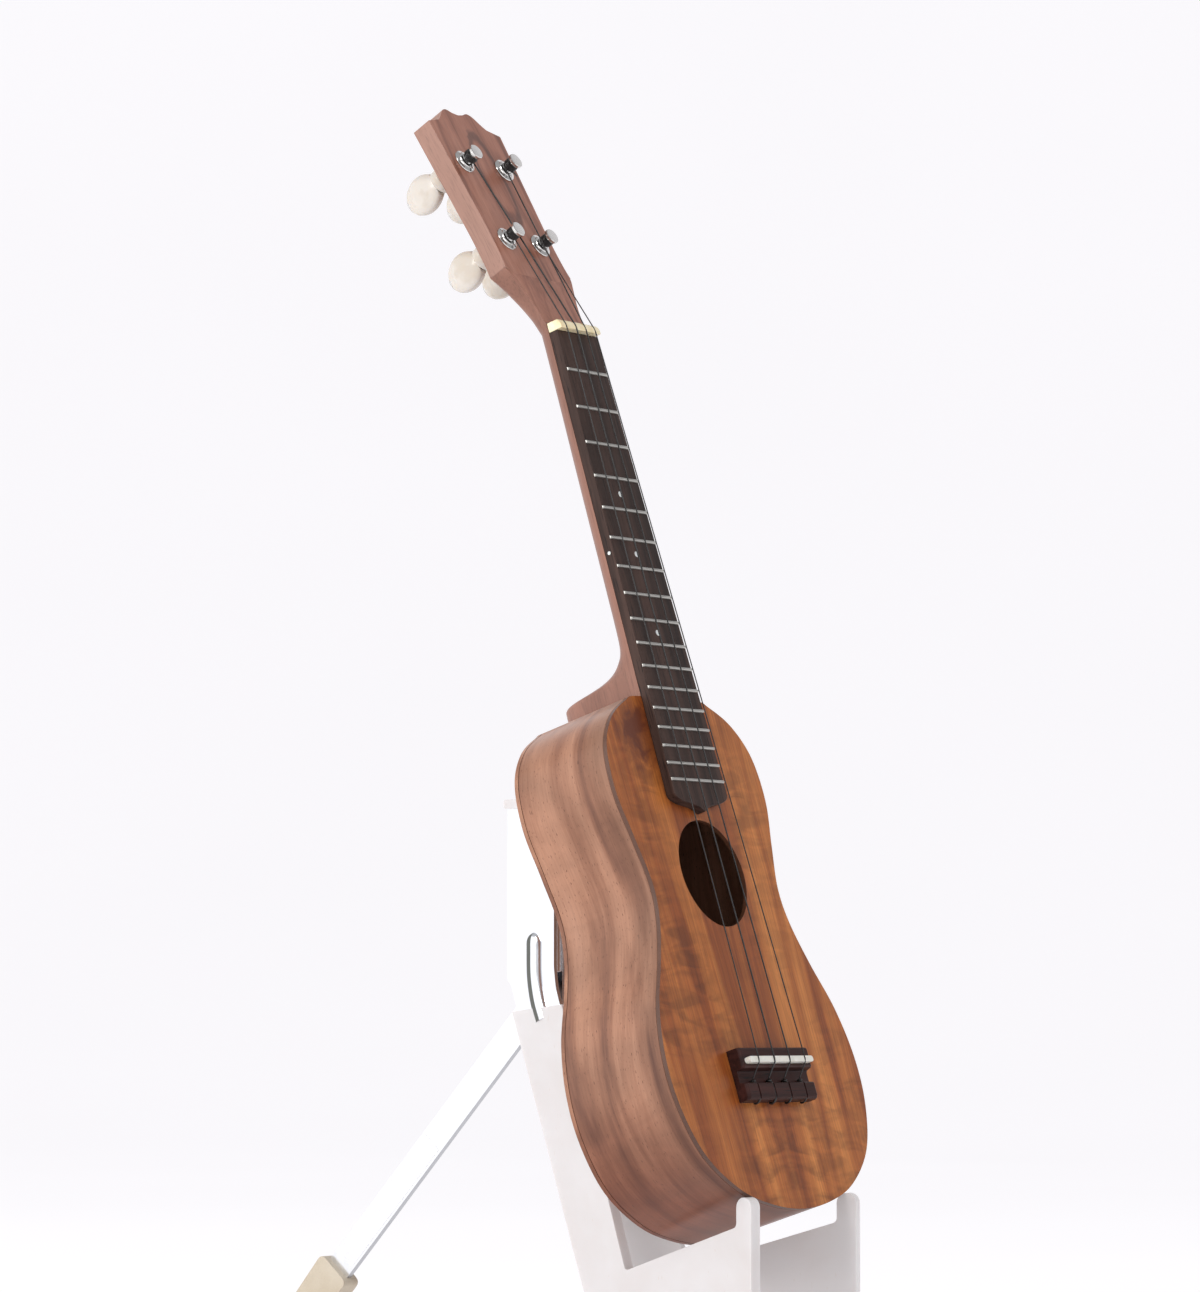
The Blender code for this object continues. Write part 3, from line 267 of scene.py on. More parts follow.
def smooth(obj, angle=40):
    obj.data.shade_smooth()
    modifier = obj.modifiers.new("normals", "WEIGHTED_NORMAL")
    modifier.keep_sharp = True
    obj.data.set_sharp_from_angle(angle=radians(angle))
    return obj


def across_grain(place):
    return (place.y, place.x, place.z)


def mark_grain(obj, grain=None):
    """Stores each point's place in the piece's own frame, which its material reads as grain."""
    attribute = obj.data.attributes.new("grain", "FLOAT_VECTOR", "POINT")
    for i, vertex in enumerate(obj.data.vertices):
        attribute.data[i].vector = grain(vertex.co) if grain else vertex.co


def settle(obj, matrix, body, materials, nodes=(), grain=None):
    """Stores the grain, moves the piece into place, gives it its materials, ties it to its body and
    hides the CAD nodes that it replaces.
    """
    mark_grain(obj, grain)
    obj.data.transform(matrix)
    materials = materials if isinstance(materials, (list, tuple)) else [materials]
    for material in materials:
        obj.data.materials.append(material)
    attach(obj, body)
    if nodes:
        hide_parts(*nodes)
    return obj


# Materials.


class Shader:
    """A Principled material, with short calls for the nodes that the materials share."""

    def __init__(self, name, colour, roughness, **sockets):
        self.material = bpy.data.materials.new(name)
        self.material.use_nodes = True
        self.tree = self.material.node_tree
        self.principled = self.tree.nodes["Principled BSDF"]
        self.set("Base Color", (*colour, 1))
        self.set("Roughness", roughness)
        for socket, value in sockets.items():
            self.set(socket.replace("_", " "), value)
        self.material.diffuse_color = (*colour, 1)

    def set(self, socket, value):
        self.principled.inputs[socket].default_value = value

    def node(self, kind, **values):
        made = self.tree.nodes.new("ShaderNode" + kind)
        for name, value in values.items():
            setattr(made, name, value)
        return made

    def link(self, source, target):
        self.tree.links.new(source, target)
        return source

    def grain(self, stretch=(1, 1, 1), shift=(0, 0, 0)):
        attribute = self.node("Attribute", attribute_name="grain")
        mapping = self.node("Mapping")
        mapping.inputs["Scale"].default_value = stretch
        mapping.inputs["Location"].default_value = shift
        self.link(attribute.outputs["Vector"], mapping.inputs["Vector"])
        return mapping.outputs["Vector"]

    def place(self, stretch=(1, 1, 1)):
        coordinates = self.node("TexCoord")
        mapping = self.node("Mapping")
        mapping.inputs["Scale"].default_value = stretch
        self.link(coordinates.outputs["Object"], mapping.inputs["Vector"])
        return mapping.outputs["Vector"]

    def noise(self, vector, scale, detail=4, distortion=0.0, roughness=0.55):
        made = self.node("TexNoise")
        made.inputs["Scale"].default_value = scale
        made.inputs["Detail"].default_value = detail
        made.inputs["Distortion"].default_value = distortion
        made.inputs["Roughness"].default_value = roughness
        self.link(vector, made.inputs["Vector"])
        return made.outputs["Fac"]

    def wave(self, vector, scale, distortion=6.0, detail=2, detail_scale=1.0):
        made = self.node("TexWave")
        made.inputs["Scale"].default_value = scale
        made.inputs["Distortion"].default_value = distortion
        made.inputs["Detail"].default_value = detail
        made.inputs["Detail Scale"].default_value = detail_scale
        self.link(vector, made.inputs["Vector"])
        return made.outputs["Fac"]

    def ramp(self, fac, *stops):
        """A colour ramp from (position, colour) stops, where a colour may be one grey value."""
        made = self.node("ValToRGB")
        elements = made.color_ramp.elements
        while len(elements) < len(stops):
            elements.new(0.5)
        for element, (position, colour) in zip(elements, stops):
            element.position = position
            grey = isinstance(colour, (int, float))
            element.color = (colour, colour, colour, 1) if grey else (*colour, 1)
        self.link(fac, made.inputs["Fac"])
        return made.outputs["Color"]

    def mix(self, fac, first, second, blend="MIX"):
        made = self.node("Mix", data_type="RGBA", blend_type=blend)
        for value, socket in ((fac, 0), (first, 6), (second, 7)):
            if isinstance(value, bpy.types.NodeSocket):
                self.link(value, made.inputs[socket])
            elif socket == 0:
                made.inputs[0].default_value = value
            else:
                made.inputs[socket].default_value = (*value, 1)
        return made.outputs[2]

    def shade(self, fac, first, grey, *stops):
        return self.mix(fac, first, self.ramp(grey, *stops), "MULTIPLY")

    def math(self, operation, first, second=None):
        made = self.node("Math", operation=operation)
        for value, socket in ((first, 0), (second, 1)):
            if isinstance(value, bpy.types.NodeSocket):
                self.link(value, made.inputs[socket])
            elif value is not None:
                made.inputs[socket].default_value = value
        return made.outputs[0]

    def axes(self, vector):
        made = self.node("SeparateXYZ")
        self.link(vector, made.inputs[0])
        return made.outputs

    def oval(self, x, y, centre, radii):
        """Grows outwards from 0 at the centre, and is 1 on the oval with these radii."""
        terms = []
        for value, middle, radius in zip((x, y), centre, radii):
            share = self.math("DIVIDE", self.math("SUBTRACT", value, middle), radius)
            terms.append(self.math("POWER", share, 2))
        return self.math("ADD", *terms)

    def colour(self, source):
        self.link(source, self.principled.inputs["Base Color"])

    def rough(self, fac, low, high):
        made = self.node("MapRange")
        made.inputs["To Min"].default_value = low
        made.inputs["To Max"].default_value = high
        self.link(fac, made.inputs["Value"])
        self.link(made.outputs["Result"], self.principled.inputs["Roughness"])

    def bump(self, height, strength, distance=0.0004):
        made = self.node("Bump")
        made.inputs["Strength"].default_value = strength
        made.inputs["Distance"].default_value = distance
        self.link(height, made.inputs["Height"])
        self.link(made.outputs["Normal"], self.principled.inputs["Normal"])


def koa_top_material():
    """Golden curly koa, bookmatched about the centre, with a dark swirl beside the fretboard."""
    s = Shader("koa_top", (0.42, 0.12, 0.03), 0.36, Coat_Weight=0.12, Coat_Roughness=0.3)
    s.set("Specular IOR Level", 0.3)
    x, y = s.axes(s.grain())[:2]
    lean = s.math("MULTIPLY", y, 0.06)
    across = s.math("SUBTRACT", s.math("ABSOLUTE", x), lean)
    lengthwise = s.node("CombineXYZ")
    s.link(across, lengthwise.inputs[0])
    s.link(s.math("MULTIPLY", y, 0.05), lengthwise.inputs[1])
    s.link(s.math("MULTIPLY", x, 0.15), lengthwise.inputs[2])
    bands = s.noise(lengthwise.outputs[0], 62, 5, 0.6)
    fine = s.noise(s.grain((1, 0.035, 1)), 900, 3)
    figure_place = s.node("CombineXYZ")
    s.link(s.math("MULTIPLY", across, 0.35), figure_place.inputs[0])
    s.link(y, figure_place.inputs[1])
    curl = s.noise(figure_place.outputs[0], 120, 2, 0.8)
    edge_share = s.ramp(s.noise(s.grain((1, 0.6, 1)), 14, 2), (0.38, 0), (0.58, 1))
    base = s.ramp(
        bands,
        (0.27, (0.15, 0.034, 0.008)),
        (0.42, (0.30, 0.076, 0.016)),
        (0.54, (0.46, 0.145, 0.032)),
        (0.72, (0.62, 0.225, 0.056)),
    )
    darker = s.shade(0.6, base, fine, (0.3, 0.5), (0.65, 1.05))
    curled = s.shade(0.7, darker, curl, (0.36, 0.55), (0.6, 1.15))
    figured = s.mix(edge_share, darker, curled)
    swirl_place = s.oval(x, y, (-0.034, 0.166), (0.019, 0.022))
    ragged = s.math("ADD", swirl_place, s.math("MULTIPLY", s.noise(s.grain(), 75, 4, 1.5), 2.4))
    swirl = s.ramp(s.math("MULTIPLY", ragged, 0.45), (0.55, 1), (1.0, 0))
    s.colour(s.mix(swirl, figured, (0.13, 0.032, 0.012)))
    s.rough(fine, 0.28, 0.42)
    s.bump(fine, 0.12, 0.0002)
    return s.material


def koa_side_material():
    """Koa bent round the rim: streaks along it, blotches of figure, small dark pores, and painted
    shade that darkens it towards the floor.
    """
    s = Shader("koa_side", (0.42, 0.2, 0.13), 0.36, Coat_Weight=0.08, Coat_Roughness=0.28)
    s.set("Specular IOR Level", 0.3)
    streaks = s.noise(s.grain((0.1, 1, 1)), 75, 5, 0.4)
    blotches = s.noise(s.grain((1, 0.6, 1)), 26, 3, 0.8)
    fine = s.noise(s.grain((0.05, 1, 1)), 1100, 3)
    pores = s.noise(s.grain((0.16, 1, 1)), 2100, 1)
    base = s.ramp(
        streaks,
        (0.28, (0.17, 0.072, 0.048)),
        (0.45, (0.33, 0.152, 0.092)),
        (0.58, (0.45, 0.225, 0.140)),
        (0.78, (0.52, 0.275, 0.180)),
    )
    lit = s.shade(0.5, base, blotches, (0.36, 0.62), (0.64, 1.12))
    lined = s.shade(0.4, lit, fine, (0.3, 0.6), (0.7, 1.0))
    width = s.axes(s.grain())[1]
    front = s.ramp(s.math("ADD", s.math("MULTIPLY", width, 20), 1), (0.62, 1), (0.86, 0.72))
    # Painted shade: low darkens the rim towards the floor, where its lowest part faces down, away
    # from the light.
    height = s.axes(s.place())[2]
    low = s.ramp(s.math("MULTIPLY", height, 5), (0.36, (0.55, 0.36, 0.30)), (0.62, 1))
    shaded = s.mix(1, s.mix(1, lined, front, "MULTIPLY"), low, "MULTIPLY")
    s.colour(s.mix(s.ramp(pores, (0.27, 1), (0.33, 0)), shaded, (0.10, 0.04, 0.025)))
    s.rough(streaks, 0.26, 0.4)
    s.bump(fine, 0.1, 0.0002)
    return s.material


def mahogany_material(name, dark, light, roughness=0.38):
    s = Shader(name, light, roughness, Coat_Weight=0.15, Coat_Roughness=0.35)
    bands = s.noise(s.grain((1, 0.06, 1)), 70, 4, 0.5)
    pores = s.noise(s.grain((1, 0.05, 1)), 1500, 2)
    base = s.ramp(bands, (0.3, dark), (0.7, light))
    s.colour(s.shade(0.5, base, pores, (0.32, 0.55), (0.5, 1.0)))
    s.rough(bands, roughness - 0.06, roughness + 0.08)
    s.bump(pores, 0.15, 0.0002)
    return s.material


def head_face_material():
    """The headstock's face: brown with dark lines, and a dark flame in its upper middle."""
    s = Shader("head_face", (0.36, 0.15, 0.1), 0.42, Specular_IOR_Level=0.3)
    lines = s.noise(s.grain((1, 0.1, 1)), 110, 5, 0.9)
    fine = s.noise(s.grain((1, 0.06, 1)), 1300, 2)
    base = s.ramp(
        lines,
        (0.3, (0.18, 0.070, 0.045)),
        (0.48, (0.36, 0.150, 0.100)),
        (0.7, (0.46, 0.215, 0.150)),
    )
    x, y = s.axes(s.grain())[:2]
    ring = s.oval(x, y, (0.004, 0.093), (0.0095, 0.030))
    wobble = s.math("ADD", ring, s.math("MULTIPLY", s.noise(s.grain(), 60, 3, 1.0), 0.9))
    stops = ((0.5, 0), (0.62, 0.75), (0.74, 0.7), (0.85, 0))
    flame = s.ramp(s.math("MULTIPLY", wobble, 0.5), *stops)
    marked = s.mix(flame, base, (0.11, 0.052, 0.042))
    s.colour(s.shade(0.4, marked, fine, (0.3, 0.55), (0.55, 1.0)))
    s.rough(lines, 0.34, 0.46)
    s.bump(fine, 0.12, 0.0002)
    return s.material


def rosewood_material(name, dark, light):
    s = Shader(name, light, 0.42, Specular_IOR_Level=0.18)
    bands = s.noise(s.grain((1, 0.045, 1)), 160, 5, 0.7)
    pores = s.noise(s.grain((1, 0.04, 1)), 1800, 1)
    base = s.ramp(bands, (0.3, dark), (0.72, light))
    s.colour(s.mix(s.ramp(pores, (0.3, 0.85), (0.37, 0)), base, (0.008, 0.005, 0.005)))
    s.rough(bands, 0.34, 0.52)
    s.bump(pores, 0.3, 0.0002)
    return s.material


def spruce_material():
    s = Shader("spruce_inside", (0.6, 0.42, 0.24), 0.62)
    rings = s.noise(s.grain((1, 0.03, 1)), 420, 3)
    s.colour(s.ramp(rings, (0.35, (0.46, 0.29, 0.15)), (0.6, (0.66, 0.48, 0.29))))
    s.bump(rings, 0.2, 0.0002)
    return s.material


def bone_material(name, dark, light):
    s = Shader(name, light, 0.32, Subsurface_Weight=0.15, Subsurface_Radius=(0.002, 0.0015, 0.001))
    clouds = s.noise(s.grain(), 160, 3, 0.6)
    scratches = s.noise(s.grain((1, 0.1, 1)), 2600, 2)
    s.colour(s.ramp(clouds, (0.3, dark), (0.65, light)))
    s.rough(scratches, 0.25, 0.42)
    s.bump(scratches, 0.06, 0.0001)
    return s.material


def pearl_button_material():
    """Ivory-coloured plastic with soft, slightly darker veins."""
    light, vein = (0.65, 0.60, 0.54), (0.54, 0.46, 0.36)
    s = Shader("button_pearl", light, 0.2, Coat_Weight=0.5, Coat_Roughness=0.1)
    s.set("Subsurface Weight", 0.2)
    s.set("Subsurface Radius", (0.004, 0.003, 0.002))
    veins = s.wave(s.grain((1, 1, 1)), 55, 5.0, 3, 1.4)
    s.colour(s.mix(0.5, light, s.ramp(veins, (0.1, vein), (0.6, light))))
    s.rough(veins, 0.16, 0.26)
    return s.material


def metal_material(name, colour, low, high, stretch=(1, 1, 1)):
    s = Shader(name, colour, low, Metallic=1.0)
    streaks = s.noise(s.place(stretch), 320, 3)
    s.rough(streaks, low, high)
    shade = tuple(c * 0.93 for c in colour)
    s.colour(s.ramp(streaks, (0.3, shade), (0.65, colour)))
    s.bump(streaks, 0.03, 0.0001)
    return s.material


def string_material():
    s = Shader("string_black", (0.012, 0.011, 0.011), 0.32)
    rings = s.noise(s.place(), 900, 2)
    s.colour(s.ramp(rings, (0.3, (0.008, 0.007, 0.007)), (0.7, (0.022, 0.020, 0.019))))
    s.rough(rings, 0.25, 0.4)
    return s.material


def sleeve_material():
    """Milky soft plastic dip with faint dust, thumb marks, a slight orange-peel surface and a faint
    painted glow that lifts its shaded faces.
    """
    s = Shader("sleeve_dip", (0.68, 0.655, 0.655), 0.42, Coat_Weight=0.1, Coat_Roughness=0.4)
    s.set("Subsurface Weight", 0.35)
    s.set("Subsurface Radius", (0.006, 0.005, 0.005))
    s.set("Subsurface Scale", 1.0)
    # Painted light: a faint glow lifts the shaded faces of the sleeves and caps.
    s.set("Emission Color", (1.0, 0.97, 0.97, 1))
    s.set("Emission Strength", 0.11)
    clouds = s.noise(s.place(), 22, 4, 0.4)
    specks = s.noise(s.place((1, 1, 0.4)), 520, 2)
    peel = s.noise(s.place(), 260, 2)
    base = s.ramp(clouds, (0.3, (0.56, 0.525, 0.515)), (0.6, (0.60, 0.58, 0.58)))
    s.colour(s.mix(s.ramp(specks, (0.24, 0.35), (0.3, 0)), base, (0.50, 0.42, 0.36)))
    s.rough(clouds, 0.36, 0.5)
    s.bump(peel, 0.08, 0.0003)
    return s.material


def boot_material():
    """Cream rubber with a fine matt, slightly fuzzy skin."""
    s = Shader("boot_cream", (0.57, 0.49, 0.375), 0.68, Sheen_Weight=0.2, Sheen_Roughness=0.5)
    fuzz = s.noise(s.place(), 1400, 3)
    clouds = s.noise(s.place(), 60, 3)
    base = s.ramp(clouds, (0.3, (0.53, 0.445, 0.33)), (0.7, (0.61, 0.535, 0.42)))
    s.colour(s.shade(0.3, base, fuzz, (0.3, 0.82), (0.7, 1.05)))
    s.bump(fuzz, 0.35, 0.0004)
    s.rough(fuzz, 0.6, 0.78)
    return s.material


def label_material():
    s = Shader("label_plain", (0.82, 0.82, 0.84), 0.45)
    fibres = s.noise(s.place(), 700, 2)
    s.colour(s.ramp(fibres, (0.3, (0.78, 0.78, 0.80)), (0.7, (0.86, 0.86, 0.88))))
    s.rough(fibres, 0.4, 0.55)
    return s.material


KOA_TOP = koa_top_material()
KOA_SIDE = koa_side_material()
MAHOGANY = mahogany_material("mahogany_neck", (0.20, 0.085, 0.055), (0.34, 0.155, 0.105))
HEAD_SIDE = mahogany_material("mahogany_head", (0.29, 0.15, 0.107), (0.39, 0.21, 0.158), 0.5)
HEAD_FACE = head_face_material()
INSIDE_WOOD = mahogany_material("mahogany_inside", (0.12, 0.05, 0.03), (0.2, 0.09, 0.055), 0.7)
BOARD = rosewood_material("rosewood_board", (0.018, 0.010, 0.008), (0.080, 0.044, 0.034))
BRIDGE_WOOD = rosewood_material("rosewood_bridge", (0.016, 0.005, 0.004), (0.060, 0.018, 0.014))
KOA_EDGE = mahogany_material("koa_edge", (0.07, 0.025, 0.012), (0.13, 0.05, 0.025))
SPRUCE = spruce_material()
NUT_BONE = bone_material("nut_bone", (0.84, 0.68, 0.40), (0.95, 0.86, 0.60))
SADDLE_BONE = bone_material("saddle_bone", (0.72, 0.70, 0.62), (0.85, 0.83, 0.76))
DOT_PEARL = bone_material("dot_pearl", (0.62, 0.66, 0.66), (0.85, 0.87, 0.86))
BUTTON = pearl_button_material()
FRET_METAL = metal_material("fret_nickel", (0.50, 0.49, 0.46), 0.3, 0.45)
NICKEL = metal_material("tuner_nickel", (0.72, 0.71, 0.69), 0.12, 0.26)
STAND_METAL = metal_material("stand_bright", (0.90, 0.915, 0.945), 0.16, 0.3, (1, 1, 0.05))
# Dark metal painted on one flank of the wings' ribs, standing in for the shade that flank reflects.
STAND_SHADE = metal_material("stand_rib_painted_shade", (0.15, 0.155, 0.14), 0.3, 0.42)
# Darker metal painted on the rear leg's narrow edges, standing in for the shade they reflect.
STAND_EDGE_SHADE = metal_material("stand_bar_edge_painted_shade", (0.55, 0.56, 0.58), 0.3, 0.42)
STRING = string_material()
SLEEVE = sleeve_material()
BOOT = boot_material()
LABEL = label_material()


# Body.


def body_depth(y):
    return TAIL_DEPTH + (NECK_END_DEPTH - TAIL_DEPTH) * (y - TAIL_Y) / (NECK_JOINT_Y - TAIL_Y)


def body_outline():
    half = [(x * MM, y * MM) for x, y in BODY_HALF_OUTLINE]
    loop = half + [(-x, y) for x, y in reversed(half) if x > 0]
    return [Vector((p.x, min(p.y, NECK_JOINT_Y))) for p in smooth_points(loop, OUTLINE_STEPS, True)]


def make_soundboard():
    hole = [
        (SOUND_HOLE_RADIUS * sin(a), SOUND_HOLE_Y + SOUND_HOLE_RADIUS * cos(a))
        for a in [2 * pi * i / 96 for i in range(96)]
    ]
    top = plate("soundboard_top", [body_outline(), hole], -PLATE, 0)
    bevel(top, 0.5 * MM, 3).modifiers["bevel"].material = 1
    smooth(top)
    for face in top.data.polygons:
        face.material_index = 0 if face.normal.z > 0.9 else 1
    settle(top, INSTRUMENT, "instrument", [KOA_TOP, KOA_EDGE], ["soundboard"])


def make_sides():
    """The bent rim: its grain runs along its length, and its width follows the sloping back."""
    outer = body_outline()
    inner = offset_loop(outer, -SIDE_THICKNESS)
    lengths = [0.0]
    for first, second in zip(outer, outer[1:]):
        lengths.append(lengths[-1] + (second - first).length)
    rows = 8
    work = bmesh.new()
    grain = work.verts.layers.float_vector.new("grain")
    columns = []
    for out, inn, length in zip(outer, inner, lengths):
        bottom = -body_depth(out.y) + PLATE + SEAM
        top = -PLATE - SEAM
        column = []
        for i in range(rows + 1):
            z = top + (bottom - top) * i / rows
            column.append(work.verts.new((out.x, out.y, z)))
        for i in (rows, 0):
            z = top + (bottom - top) * i / rows
            column.append(work.verts.new((inn.x, inn.y, z)))
        for vertex in column:
            vertex[grain] = (length, vertex.co.z, 0)
        columns.append(column)
    count = len(columns[0])
    for i in range(len(columns)):
        first, second = columns[i - 1], columns[i]
        for k in range(count):
            after = (k + 1) % count
            work.faces.new((first[k], first[after], second[after], second[k]))
    rim = new_object("rim_bent", work)
    bevel(rim, 0.35 * MM, 2)
    smooth(rim)
    rim.data.transform(INSTRUMENT)
    rim.data.materials.append(KOA_SIDE)
    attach(rim, "instrument")
    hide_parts("sides")


def make_back():
    back = plate("back_plate", [body_outline()], 0, PLATE)
    for vertex in back.data.vertices:
        vertex.co.z -= body_depth(vertex.co.y)
    for face in back.data.polygons:
        face.material_index = 1 if face.normal.z > 0.9 else 0
    bevel(back, 0.7 * MM, 3)
    smooth(back)
    looks = [KOA_SIDE, INSIDE_WOOD]
    settle(back, INSTRUMENT, "instrument", looks, ["back"], across_grain)


def carry_over(names, material, body_frame=INSTRUMENT):
    """CAD nodes that keep their shape: they get their material and their grain."""
    back = body_frame.inverted()
    for name in names:
        node = frame["nodes"][name]
        attribute = node.data.attributes.new("grain", "FLOAT_VECTOR", "POINT")
        for i, vertex in enumerate(node.data.vertices):
            attribute.data[i].vector = back @ vertex.co
        node.data.materials.clear()
        node.data.materials.append(material)


# Neck and head.


def board_half_width(y):
    last = SCALE_LENGTH * 2 ** (-FRET_COUNT / 12)
    share = (SCALE_LENGTH - y) / (SCALE_LENGTH - last)
    return NUT_HALF_WIDTH + (LAST_FRET_HALF_WIDTH - NUT_HALF_WIDTH) * share


def section(half_width, depth, foot, power, count=24):
    """A rounded section below a flat top; foot is its flat half width at the bottom."""
    ring = []
    for i in range(count + 1):
        angle = pi * i / count
        side = 1 if angle < pi / 2 else -1
        width = abs(cos(angle)) ** (2 / power)
        fall = sin(angle) ** (2 / power)
        x = 0 if i * 2 == count else side * (foot + (half_width - foot) * width)
        ring.append(Vector((x, 0, -depth * fall)))
    return ring


def make_neck():
    """Heel, neck and the flare into the headstock, in one sweep of rounded sections.

    Each key holds a place along the neck, the depth there, the half width of the section's
    flat foot (on the head's flare, the half width comes before the depth) and the roundness.
    """
    depth = 51.8
    keys = [(187.8, depth, 9, 2.6), (194, depth, 9, 2.6), (197.3, depth - 0.4, 8.8, 2.6)]
    keys += [(198.9, depth - 2.8, 8, 2.5), (199.9, 41.5, 7, 2.4), (201.6, 30.5, 5.4, 2.3)]
    keys += [(204.4, 22, 3.6, 2.2), (208.6, 16, 1.8, 2.2), (214, 12.8, 0, 2.1)]
    keys += [(224, 11.6, 0, 2.1), (250, 11.3, 0, 2.1), (300, 11, 0, 2.1)]
    keys += [(345, 10.5, 0, 2.1), (372, 10, 0, 2.2), (383, 9.8, 0, 2.3)]
    rings = []
    for y, deep, foot, power in smooth_points([Vector(k) for k in keys], 6):
        half = board_half_width(y * MM)
        ring = section(half, deep * MM, foot * MM, power)
        rings.append([point + Vector((0, y * MM, 0)) for point in ring])
    head_keys = [(0.5, 17.9, 9.7, 2.8)]
    head_keys += [(7, 18.8, 9.7, 3.2), (14, 20.6, 10, 4.2), (20, 22.9, 10.4, 5.5)]
    head_keys += [(26, 25.5, 10.8, 8.0), (31, 27.6, 11.0, 16.0), (34.2, 28.35, 10.85, 40.0)]
    to_head = INSTRUMENT.inverted() @ HEAD
    for y, half, deep, power in smooth_points([Vector(k) for k in head_keys], 4):
        ring = section(half * MM, deep * MM, 0, power)
        sunk = 0.05 * MM if y > 26 else 0
        rings.append([to_head @ (point + Vector((0, y * MM, -sunk))) for point in ring])
    neck = loft("neck_carved", rings)
    neck.data.materials.append(MAHOGANY)
    neck.data.materials.append(HEAD_FACE)
    head_normal = to_head.to_3x3() @ Vector((0, 0, 1))
    for face in neck.data.polygons:
        if face.normal.dot(head_normal) > 0.97 and face.center.y > SCALE_LENGTH + NUT_LENGTH:
            face.material_index = 1
    smooth(neck, 50)
    settle(neck, INSTRUMENT, "instrument", [], ["neck"])


# The plate runs on below the face of the neck's flare, so that no seam shows.
HEAD_TONGUE = Vector((24 * MM, 29.5 * MM))


def make_headstock():
    upper = [Vector(p) * MM for p in HEAD_UPPER_OUTLINE]
    straight = upper[:5]
    crown = [upper[4]] + smooth_points(upper[5:], 4)
    side = [HEAD_TONGUE] + smooth_points(straight, 4)[:-1] + crown
    loop = side + [Vector((-p.x, p.y)) for p in reversed(side) if p.x > 0]
    head = plate("headstock_plate", [loop], -HEAD_THICKNESS, 0)
    for face in head.data.polygons:
        face.material_index = 1 if face.normal.z > 0.9 else 0
    bevel(head, 0.8 * MM, 3)
    smooth(head)
    settle(head, HEAD, "instrument", [HEAD_SIDE, HEAD_FACE], ["headstock"])


def make_fretboard():
    nut_half = board_half_width(SCALE_LENGTH)
    end_half = board_half_width(BOARD_END_Y)
    reach = BOARD_END_Y - BOARD_TIP_Y
    curve = [(0, 0), (0.1, 0.17), (0.22, 0.34), (0.42, 0.47), (0.72, 0.62), (0.93, 0.86)]
    half = [Vector((end_half * a, BOARD_TIP_Y + reach * b)) for a, b in curve]
    half += [Vector((end_half, BOARD_END_Y + 0.8 * MM)), Vector((nut_half, SCALE_LENGTH - SEAM))]
    rounded = smooth_points(half[:-1], 4) + [half[-1]]
    loop = rounded + [Vector((-p.x, p.y)) for p in reversed(rounded) if p.x > 0]
    board = plate("fretboard_slab", [loop], SEAM, BOARD_TOP)
    bevel(board, 0.7 * MM, 3)
    smooth(board)
    settle(board, INSTRUMENT, "instrument", BOARD, ["fretboard"])


def fret_y(number):
    return SCALE_LENGTH * 2 ** (-number / 12)


FRET_ENDS = ((-1, 0.35), (-0.985, 0.75), (-0.965, 1), (0.965, 1), (0.985, 0.75), (1, 0.35))


def make_frets():
    half, height = FRET_HALF_WIDTH, FRET_HEIGHT
    for number in range(1, FRET_COUNT + 1):
        y = fret_y(number)
        reach = board_half_width(y) - 0.15 * MM
        rings = []
        for share, size in FRET_ENDS:
            ring = []
            for i in range(13):
                angle = pi * i / 12
                rise = height * size * sin(angle)
                ring.append(Vector((share * reach, y + half * cos(angle), BOARD_TOP + rise)))
            rings.append(ring)
        wire = loft(f"fret_wire_{number:02d}", rings)
        smooth(wire, 50)
        settle(wire, INSTRUMENT, "instrument", FRET_METAL, [f"fret_{number:02d}"])


def make_dots():
    for number in DOT_FRETS:
        y = (fret_y(number) + fret_y(number - 1)) / 2
        dot = turned(f"face_dot_{number}", [(0, 0), (1.5, 0), (1.5, 0.06), (0, 0.06)], 32)
        place = INSTRUMENT @ Matrix.Translation((0, y, BOARD_TOP))
        settle(dot, place, "instrument", DOT_PEARL)
    y = (fret_y(7) + fret_y(6)) / 2
    dot = turned("side_dot", [(0, 0), (0.9, 0), (0.9, 0.08), (0, 0.08)], 24)
    turn = Matrix.Rotation(-pi / 2, 4, "Y")
    place = INSTRUMENT @ Matrix.Translation((-board_half_width(y), y, BOARD_TOP / 2)) @ turn
    settle(dot, place, "instrument", DOT_PEARL)


def string_x(number, y):
    """Across the instrument, string 0 to 3 from the left."""
    share = y / SCALE_LENGTH
    spacing = STRING_SPACING_AT_SADDLE + (STRING_SPACING_AT_NUT - STRING_SPACING_AT_SADDLE) * share
    return (number - 1.5) * spacing


def notch_places(y, half_width):
    """Places across a piece, closer together at each string's slot, with how deep each is cut."""
    places = [(-half_width, 0), (half_width, 0)]
    for number, radius in enumerate(STRING_RADII):
        x = string_x(number, y)
        wide = radius * 1.6
        for offset, depth in ((-wide, 0), (-wide * 0.6, 1), (wide * 0.6, 1), (wide, 0)):
            places.append((x + offset, depth))
    return sorted(places)


NUT_PROFILE = ((0, 0.2), (5, 0.2), (5, 6.6), (3.4, 8.0), (1.6, 8.5), (0, 8.5))
NUT_PROFILE_HEIGHT = 8.5


def make_nut():
    rings = []
    half = NUT_HALF_WIDTH
    for x, cut in notch_places(SCALE_LENGTH, half):
        drop = cut * 0.7 * MM
        crown = 1 - 0.04 * (x / half) ** 2
        y = SCALE_LENGTH
        top = NUT_HEIGHT * crown
        scale = top / (NUT_PROFILE_HEIGHT * MM)
        ring = []
        for a, b in NUT_PROFILE:
            z = min(b * scale * MM, top) - (drop if b > 6 else 0)
            ring.append(Vector((x, y + a * MM, z)))
        rings.append(ring)
    nut = loft("nut_bone_bar", rings)
    bevel(nut, 0.35 * MM, 2, 50)
    smooth(nut, 35)
    settle(nut, INSTRUMENT, "instrument", NUT_BONE, ["nut"])


